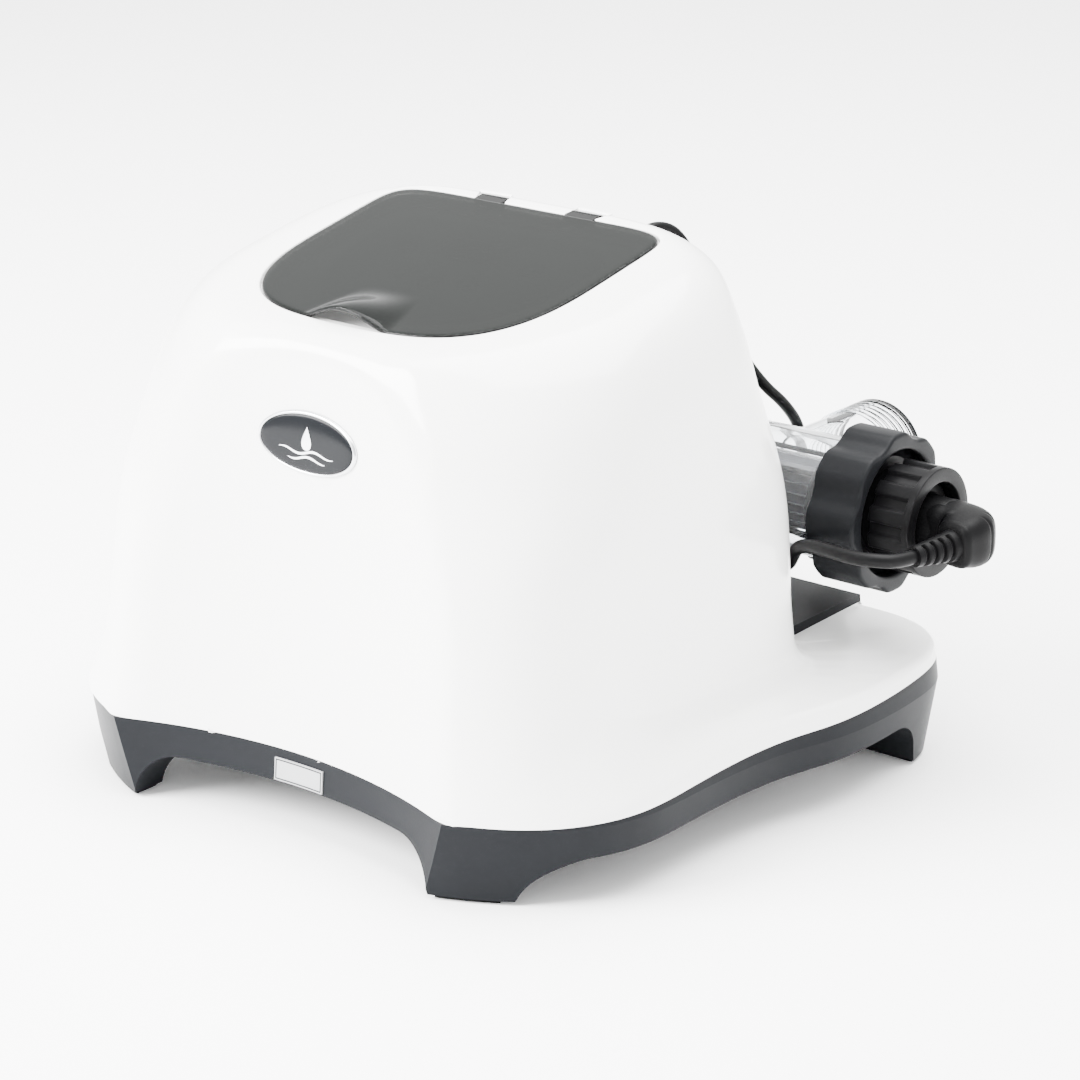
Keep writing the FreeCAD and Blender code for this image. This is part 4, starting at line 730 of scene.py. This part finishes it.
def smoked_lid():
    """The smoked lid: an even sheet with a rounded edge and a raised finger lift."""
    columns = 320
    angles = np.linspace(0, 2 * np.pi, columns, endpoint=False)
    outline = polar_radius(superellipse(96.0, -62.0, 98.5, 62.0, 3.0, 8.0), angles, centre=-62.0)
    stations = [(s, 0.0, 0.0) for s in np.linspace(0.02, 0.96, 40)]
    top = [(1.0, -2.2, 0.0), (1.0, -1.0, -0.08), (1.0, -0.35, -0.35), (1.0, 0.0, -1.0)]
    bottom = [(1.0, 0.0, -2.3), (1.0, -0.4, -2.8), (1.0, -1.0, -3.0), (1.0, -2.2, -3.0)]
    under = [(s, 0.0, -3.0) for s in np.linspace(0.96, 0.02, 40)]
    rows = []
    for share, shift, drop in stations + top + bottom + under:
        r = outline * share + shift
        x, v = r * np.cos(angles), -62.0 + r * np.sin(angles)
        rows.append(lid_point(x, v, wave_height(x, v) + drop))
    count = len(rows)
    faces = grid_faces(count, columns)
    faces.append(tuple(range(columns))[::-1])
    faces.append(tuple((count - 1) * columns + j for j in range(columns)))
    lid = finish_mesh(new_object("lid_sheet", np.concatenate(rows), faces))
    dress(lid, "smoked_lid", "lid", "lid")
    lid.data.materials.append(LOOKS["lid_edge"])
    spread = []
    for polygon in lid.data.polygons:
        spread.append(1 if abs(polygon.normal.dot(Vector((0, -0.196, 0.981)))) < 0.55 else 0)
    lid.data.polygons.foreach_set("material_index", spread)
    for side, (left, right) in zip(("left", "right"), HINGE_X):
        knuckle = lathe("lid_knuckle_" + side, rounded([(0, 1.56), (0, 3.4), (20, 3.4), (20, 1.56)], 0.5),
                        lid_point(left, 6.0, -3.5), (1, 0, 0), steps=32)
        dress(knuckle, "lid_edge", "lid")
        corners = [lid_point(x, v, w) for x in (left, right) for v in (-1.5, 5.0) for w in (-2.9, -0.1)]
        order = [(0, 1, 3, 2), (4, 6, 7, 5), (0, 4, 5, 1), (2, 3, 7, 6), (1, 5, 7, 3), (0, 2, 6, 4)]
        tab = finish_mesh(new_object("lid_tab_" + side, corners, order, False))
        rounding = tab.modifiers.new("rounding", "BEVEL")
        rounding.width, rounding.segments = 0.0005, 3
        dress(tab, "lid_edge", "lid")


# ---- marks on the keys and the display ------------------------------------------------------
def lid_plate(name, outline, low, high, look, body):
    """A thin plate with an outline in the lid plane's coordinates."""
    n = len(outline)
    points = [lid_point(x, v, w) for w in (low, high) for x, v in outline]
    faces = [tuple(range(n))[::-1], tuple(range(n, 2 * n))]
    faces += [(i, (i + 1) % n, (i + 1) % n + n, i + n) for i in range(n)]
    thing = finish_mesh(new_object(name, points, faces, False), 0.001)
    return dress(thing, look, body)


def arc_band(x, v, radius, width, start, end, steps=28):
    """Outline of a bent band, in degrees."""
    angles = np.radians(np.linspace(start, end, steps))
    outer = [(x + (radius + width) * math.sin(a), v + (radius + width) * math.cos(a)) for a in angles]
    inner = [(x + radius * math.sin(a), v + radius * math.cos(a)) for a in angles[::-1]]
    return outer + inner


def bar(x, v, wide, deep):
    """Outline of a straight bar about its middle."""
    return [(x - wide / 2, v - deep / 2), (x + wide / 2, v - deep / 2), (x + wide / 2, v + deep / 2),
            (x - wide / 2, v + deep / 2)]


def drop_outline(x, v, size, steps=24):
    """A water drop."""
    points = []
    for a in np.linspace(0, 2 * math.pi, steps, endpoint=False):
        pinch = math.sin(a / 2) ** 1.6
        points.append((x + size * math.sin(a) * pinch * 0.75, v + size * math.cos(a)))
    return points


def key_marks():
    """A plain symbol on each key, and unlit digits on the display."""
    top = -4.5
    marks = {
        "power": [arc_band(-44, -58, 2.3, 0.6, 35, 325), bar(-44, -55.9, 0.7, 2.6)],
        "boost": [[(-24.4, -86.4), (-19.6, -86.4), (-22.0, -83.2)], bar(-22, -87.6, 1.3, 2.4)],
        "timer": [arc_band(0, -92, 2.5, 0.5, 1, 359), bar(0, -91.2, 0.5, 1.9),
                  bar(0.7, -92, 1.6, 0.5)],
        "clean": [drop_outline(22, -86, 2.9)],
        "lock": [bar(44, -59.1, 4.2, 3.0), arc_band(44, -57.6, 1.1, 0.5, -90, 90)],
    }
    for name, outlines in marks.items():
        for i, outline in enumerate(outlines):
            lid_plate("mark_%s_%d" % (name, i), outline, top - 0.1, top + 0.12, "print_ink", "key_" + name)
    segments = {"2": "abged", "4": "fgbc"}
    for left, digit in ((-9.0, "2"), (5.0, "4")):
        bars = {"a": bar(left + 2, -43.2, 5.6, 1.1), "g": bar(left + 2, -50, 5.6, 1.1),
                "d": bar(left + 2, -56.8, 5.6, 1.1), "f": bar(left - 1.4, -46.6, 1.1, 5.6),
                "b": bar(left + 5.4, -46.6, 1.1, 5.6), "e": bar(left - 1.4, -53.4, 1.1, 5.6),
                "c": bar(left + 5.4, -53.4, 1.1, 5.6)}
        for key in segments[digit]:
            lid_plate("digit_%s_%s" % (digit, key), bars[key], -5.35, -5.2, "digit_bar", "housing")


# ---- badge and label ------------------------------------------------------------------------
def on_panel(x, z, lift):
    """A point on the concave panel, lifted off it."""
    c, s = math.cos(PANEL_LEAN), math.sin(PANEL_LEAN)
    x, z, lift = np.broadcast_arrays(np.asarray(x, float), z, lift)
    turn = np.arcsin(x / PANEL_RADIUS)
    along = (z - DOME_FOOT + PANEL_RADIUS * np.cos(turn) * s) / c
    reach = PANEL_RADIUS - lift
    y = PANEL_FOOT_Y - PANEL_RADIUS / c + along * s + reach * np.cos(turn) * c
    height = DOME_FOOT + along * c - reach * np.cos(turn) * s
    return np.stack([reach * np.sin(turn), y, height], -1)


BADGE_Z, BADGE_LONG, BADGE_HIGH = 216.0, 32.5, 15.0


def badge_lift(x, z):
    """Height of the domed badge above the panel."""
    share = np.minimum((x / BADGE_LONG) ** 2 + ((z - BADGE_Z) / BADGE_HIGH) ** 2, 1.0)
    return 1.2 + 1.7 * np.sqrt(np.maximum(1.0 - share, 0.0))


def panel_plate(name, outline, lift_from, lift_to, look, smooth=False):
    """A plate that follows the panel; the lifts are functions of (x, z)."""
    n = len(outline)
    x, z = np.array([p[0] for p in outline]), np.array([p[1] for p in outline])
    points = np.concatenate([on_panel(x, z, lift_from(x, z)), on_panel(x, z, lift_to(x, z))])
    faces = [tuple(range(n)), tuple(range(n, 2 * n))[::-1]]
    faces += [(i, (i + 1) % n, (i + 1) % n + n, i + n) for i in range(n)]
    thing = finish_mesh(new_object(name, points, faces, smooth), 0.001)
    return dress(thing, look, "housing")


def badge():
    """The domed oval badge, its bright edge and a plain wave-and-drop emblem."""
    angles = np.linspace(0, 2 * np.pi, 128, endpoint=False)
    rows = [on_panel(BADGE_LONG * np.cos(angles), BADGE_Z + BADGE_HIGH * np.sin(angles), 0.05 + 0 * angles)]
    for share in (1.0, 0.995, 0.98, 0.95, 0.9, 0.8, 0.65, 0.45, 0.25, 0.05):
        x, z = BADGE_LONG * share * np.cos(angles), BADGE_Z + BADGE_HIGH * share * np.sin(angles)
        rows.append(on_panel(x, z, badge_lift(x, z)))
    faces = grid_faces(len(rows), 128)
    faces.append(tuple((len(rows) - 1) * 128 + j for j in range(128)))
    faces.append(tuple(range(128))[::-1])
    oval = finish_mesh(new_object("badge_oval", np.concatenate(rows), faces))
    dress(oval, "badge_enamel", "housing", "badge")
    rows = []
    for grow, lift in ((0.0, 0.1), (0.0, 1.4), (0.3, 1.8), (0.9, 1.9), (1.5, 1.5), (1.9, 0.8), (2.0, 0.05)):
        rows.append(on_panel((BADGE_LONG + grow) * np.cos(angles),
                             BADGE_Z + (BADGE_HIGH + grow) * np.sin(angles),
                             lift + 0 * angles))
    faces = grid_faces(len(rows) + 1, 128)
    edge = finish_mesh(new_object("badge_edge", np.concatenate(rows + rows[:1]), faces))
    dress(edge, "silver_trim", "housing", "badge_ring")
    for i, (height, reach, phase) in enumerate(((-4.6, 19.0, 0.0), (-8.0, 13.0, 1.2))):
        x = np.linspace(-reach, reach, 48)
        z = BADGE_Z + height + 1.1 * np.sin(x / 3.4 + phase)
        thick = 0.65 * np.sqrt(np.maximum(1 - (x / reach) ** 2, 0.02))
        strip_on_badge("emblem_wave_%d" % i, x, z - thick, z + thick)
    panel_plate("emblem_drop", drop_outline(0.0, BADGE_Z + 3.0, 6.4, 40), lambda x, z: badge_lift(x, z) - 0.3,
                lambda x, z: badge_lift(x, z) + 0.25, "silver_trim")


def strip_on_badge(name, x, low, high):
    """A raised line on the badge, between two heights at each place."""
    rows = []
    for z, lift in ((low, -0.2), (low, 0.2), (high, 0.2), (high, -0.2), (low, -0.2)):
        rows.append(on_panel(x, z, badge_lift(x, z) + lift))
    faces = grid_faces(5, len(x), closed_columns=False)
    n = len(x)
    faces += [(0, n, 2 * n, 3 * n), tuple(i * n + n - 1 for i in (3, 2, 1, 0))]
    thing = finish_mesh(new_object(name, np.concatenate(rows), faces, False), 0.001)
    return dress(thing, "silver_trim", "housing")


def label_border():
    """The dark line round the blank plate on the tray."""
    for i, (x0, x1, z0, z1) in enumerate(((-16.4, 16.4, 28.6, 29.3), (-16.4, 16.4, 39.2, 39.9),
                                          (-16.4, -15.7, 28.6, 39.9), (15.7, 16.4, 28.6, 39.9))):
        x = np.linspace(x0, x1, 9)
        outline = [(a, z0) for a in x] + [(a, z1) for a in x[::-1]]
        panel_plate("label_line_%d" % i, outline, lambda x, z: 0.9 + 0 * x, lambda x, z: 1.08 + 0 * x,
                    "label_edge")


# ---- collars, ring nut, plug and relief -----------------------------------------------------
def collar(side, name):
    """A collar with eight shallow scallops and soft edges."""
    profile = rounded([(0, 35.3), (0, 46), (16, 46), (32, 46), (32, 36), (22.1, 36), (18.1, 31.5), (15.1,
                                                                                                    31.5),
                       (15.1, 35.3)], 2.4, 6)

    def scalloped(along, radius, angle):
        if radius < 40.0:
            return radius
        near = (angle / (2 * math.pi) * 8.0) % 1.0 - 0.5
        d = abs(near) * 36.1
        depth = 3.4 * float(smooth_step(1.0 - (d - 1.5) / 11.5))
        return radius - depth * float(smooth_step((radius - 40.0) / 3.0))

    made = lathe(name, profile, (side * 150.0, TUBE_Y, TUBE_Z), (side, 0, 0), scalloped, 240)
    sharpen(made, 55)
    return dress(made, "charcoal_plastic", "collar_right" if side > 0 else "collar_left",
                 "collar_right" if side > 0 else "collar_left")


def ring_nut():
    """The castellated ring that holds the plug."""
    outer = [(a, 31.0) for a in (0.0, 4.0, 10.0, 16.0, 20.5, 21.0, 22.2, 22.7, 26.5)]
    profile = rounded([(0, 25.8)] + outer + [(26.5, 23), (17.5, 23), (17.5, 25.8)], 0.7, 3)

    def notched(along, radius, angle):
        if radius < 28.0:
            return radius
        wave = math.cos(angle * 12.0)
        deep = float(smooth_step((wave + 0.1) / 0.5))
        end = float(smooth_step((22.4 - along) / 1.2))
        return radius - 2.7 * deep * end

    made = lathe("ring_nut_turned", profile, (181.5, TUBE_Y, TUBE_Z), (1, 0, 0), notched, 288)
    sharpen(made, 50)
    return dress(made, "black_plastic", "ring_nut", "ring_nut")


def plug():
    """The right-angle plug: a round barrel, then a head that turns to the front."""
    barrel = lathe("plug_barrel", rounded([(-13, 0.5), (-13, 15), (0.1, 15), (0.1, 21.8), (4, 21.8), (4,
                                                                                                      15.5),
                                           (20, 14.5), (20, 0.5)], 1.2), (196.0, TUBE_Y, TUBE_Z), (1, 0, 0),
                                           steps=96)
    dress(barrel, "plug_rubber", "housing", "cell_plug")
    stations = np.array([
        # x, y, heading in degrees, half width, half height, height of the middle
        (206, 112.0, 0, 13.0, 13.0, 141.5), (211, 112.0, 0, 14.6, 14.6, 141.0), (217, 112.0, -3, 15.4, 15.2,
                                                                                 140.2),
        (223, 111.0, -16, 16.0, 15.6, 139.6), (228, 108.6, -38, 16.8, 15.6, 139.2), (230.4, 104.5, -62, 15.4,
                                                                                     15.2, 139.0),
        (230.6, 99.5, -82, 13.4, 14.2, 139.0), (230.3, 95.0, -94, 12.0, 13.0, 139.0), (230.0, 92.2, -100,
                                                                                       10.8, 11.6, 139.0),
        (229.9, 91.2, -101, 9.4, 9.8, 139.0)], float)
    knots = np.concatenate([[0], np.cumsum(np.hypot(np.diff(stations[:, 0]), np.diff(stations[:, 1])))])
    at = np.linspace(0, knots[-1], 120)
    fine = spline_through(knots, stations, at)
    rows, steps = [], 72
    angles = np.linspace(0, 2 * np.pi, steps, endpoint=False)
    for k, (x, y, heading, wide, high, z) in enumerate(fine):
        square = 3.2
        size = (np.abs(np.cos(angles)) ** square + np.abs(np.sin(angles)) ** square) ** (-1.0 / square)
        groove = 0.0
        for middle in (21.0, 24.6, 28.2):
            groove += float(smooth_step(1.0 - abs(at[k] - middle) / 0.8)) * 0.9
        side = np.abs(np.cos(angles)) > 0.55
        across = (wide - groove * side) * size * np.cos(angles)
        up = high * size * np.sin(angles)
        a = math.radians(heading)
        rows.append(np.stack([x - across * math.sin(a), y + across * math.cos(a), z + up], -1))
    faces = grid_faces(len(rows), steps)
    faces += [tuple(range(steps))[::-1], tuple((len(rows) - 1) * steps + j for j in range(steps))]
    head = finish_mesh(new_object("plug_head", np.concatenate(rows), faces), 0.001)
    sharpen(head, 50)
    return barrel, dress(head, "plug_rubber", "housing")


def relief():
    """The slotted, tapered sleeve on the lead."""
    profile = [(-1.0, 0.6)]
    for along in np.linspace(-1.0, 30.0, 94):
        profile.append((along, 8.9 - 0.105 * max(along, 0.0)))
    profile += [(30.0, 4.2), (30.0, 0.6)]

    def slotted(along, radius, angle):
        if radius < 4.5 or along < 3.5 or along > 27.5:
            return radius
        wave = math.cos((along - 3.5) * 2 * math.pi / 6.0)
        spine = abs(math.sin(angle)) < 0.22
        return radius - (0.0 if spine else 2.1 * float(smooth_step((-wave + 0.1) / 0.45)))

    made = lathe("relief_sleeve", profile, RELIEF_START, RELIEF_AIM, slotted, 96)
    sharpen(made, 60)
    return dress(made, "plug_rubber", "housing", "strain_relief")


def flow_arrow(side):
    """The dark raised arrow on top of a hose port."""
    x0, y0, tip = side * 107.0, 164.0, -side * 13.0
    outline = [(0, tip), (-6, tip * 0.35), (-2.6, tip * 0.35), (-2.6, -tip), (2.6, -tip), (2.6, tip * 0.35),
               (6, tip * 0.35)]
    dense = []
    for (ax, ay), (bx, by) in zip(outline, outline[1:] + outline[:1]):
        for t in np.linspace(0, 1, 6, endpoint=False):
            dense.append((ax + (bx - ax) * t, ay + (by - ay) * t))
    n = len(dense)
    points = []
    for radius in (28.6, 29.19):
        for dx, dy in dense:
            points.append((x0 + dx, y0 + dy, TUBE_Z + math.sqrt(radius ** 2 - dx ** 2)))
    faces = [tuple(range(n))[::-1], tuple(range(n, 2 * n))]
    faces += [(i, (i + 1) % n, (i + 1) % n + n, i + n) for i in range(n)]
    thing = finish_mesh(new_object("flow_arrow_%s" % ("right" if side > 0 else "left"), points, faces, False),
                        0.001)
    return dress(thing, "flow_arrow", "housing")


housing_shell()
smoked_lid()
key_marks()
badge()
label_border()
collar(1, "collar_right_turned")
collar(-1, "collar_left_turned")
ring_nut()
plug_barrel, plug_head = plug()
sleeve = relief()
flow_arrow(1)
flow_arrow(-1)

cell_cord, sensor_cord = lead("cell_lead", CELL_LEAD, 3.9), lead("sensor_lead", SENSOR_LEAD, 3.3)
cell_cord.name, sensor_cord.name = "cell_cord", "sensor_cord"
curve_length(cell_cord)
curve_length(sensor_cord)
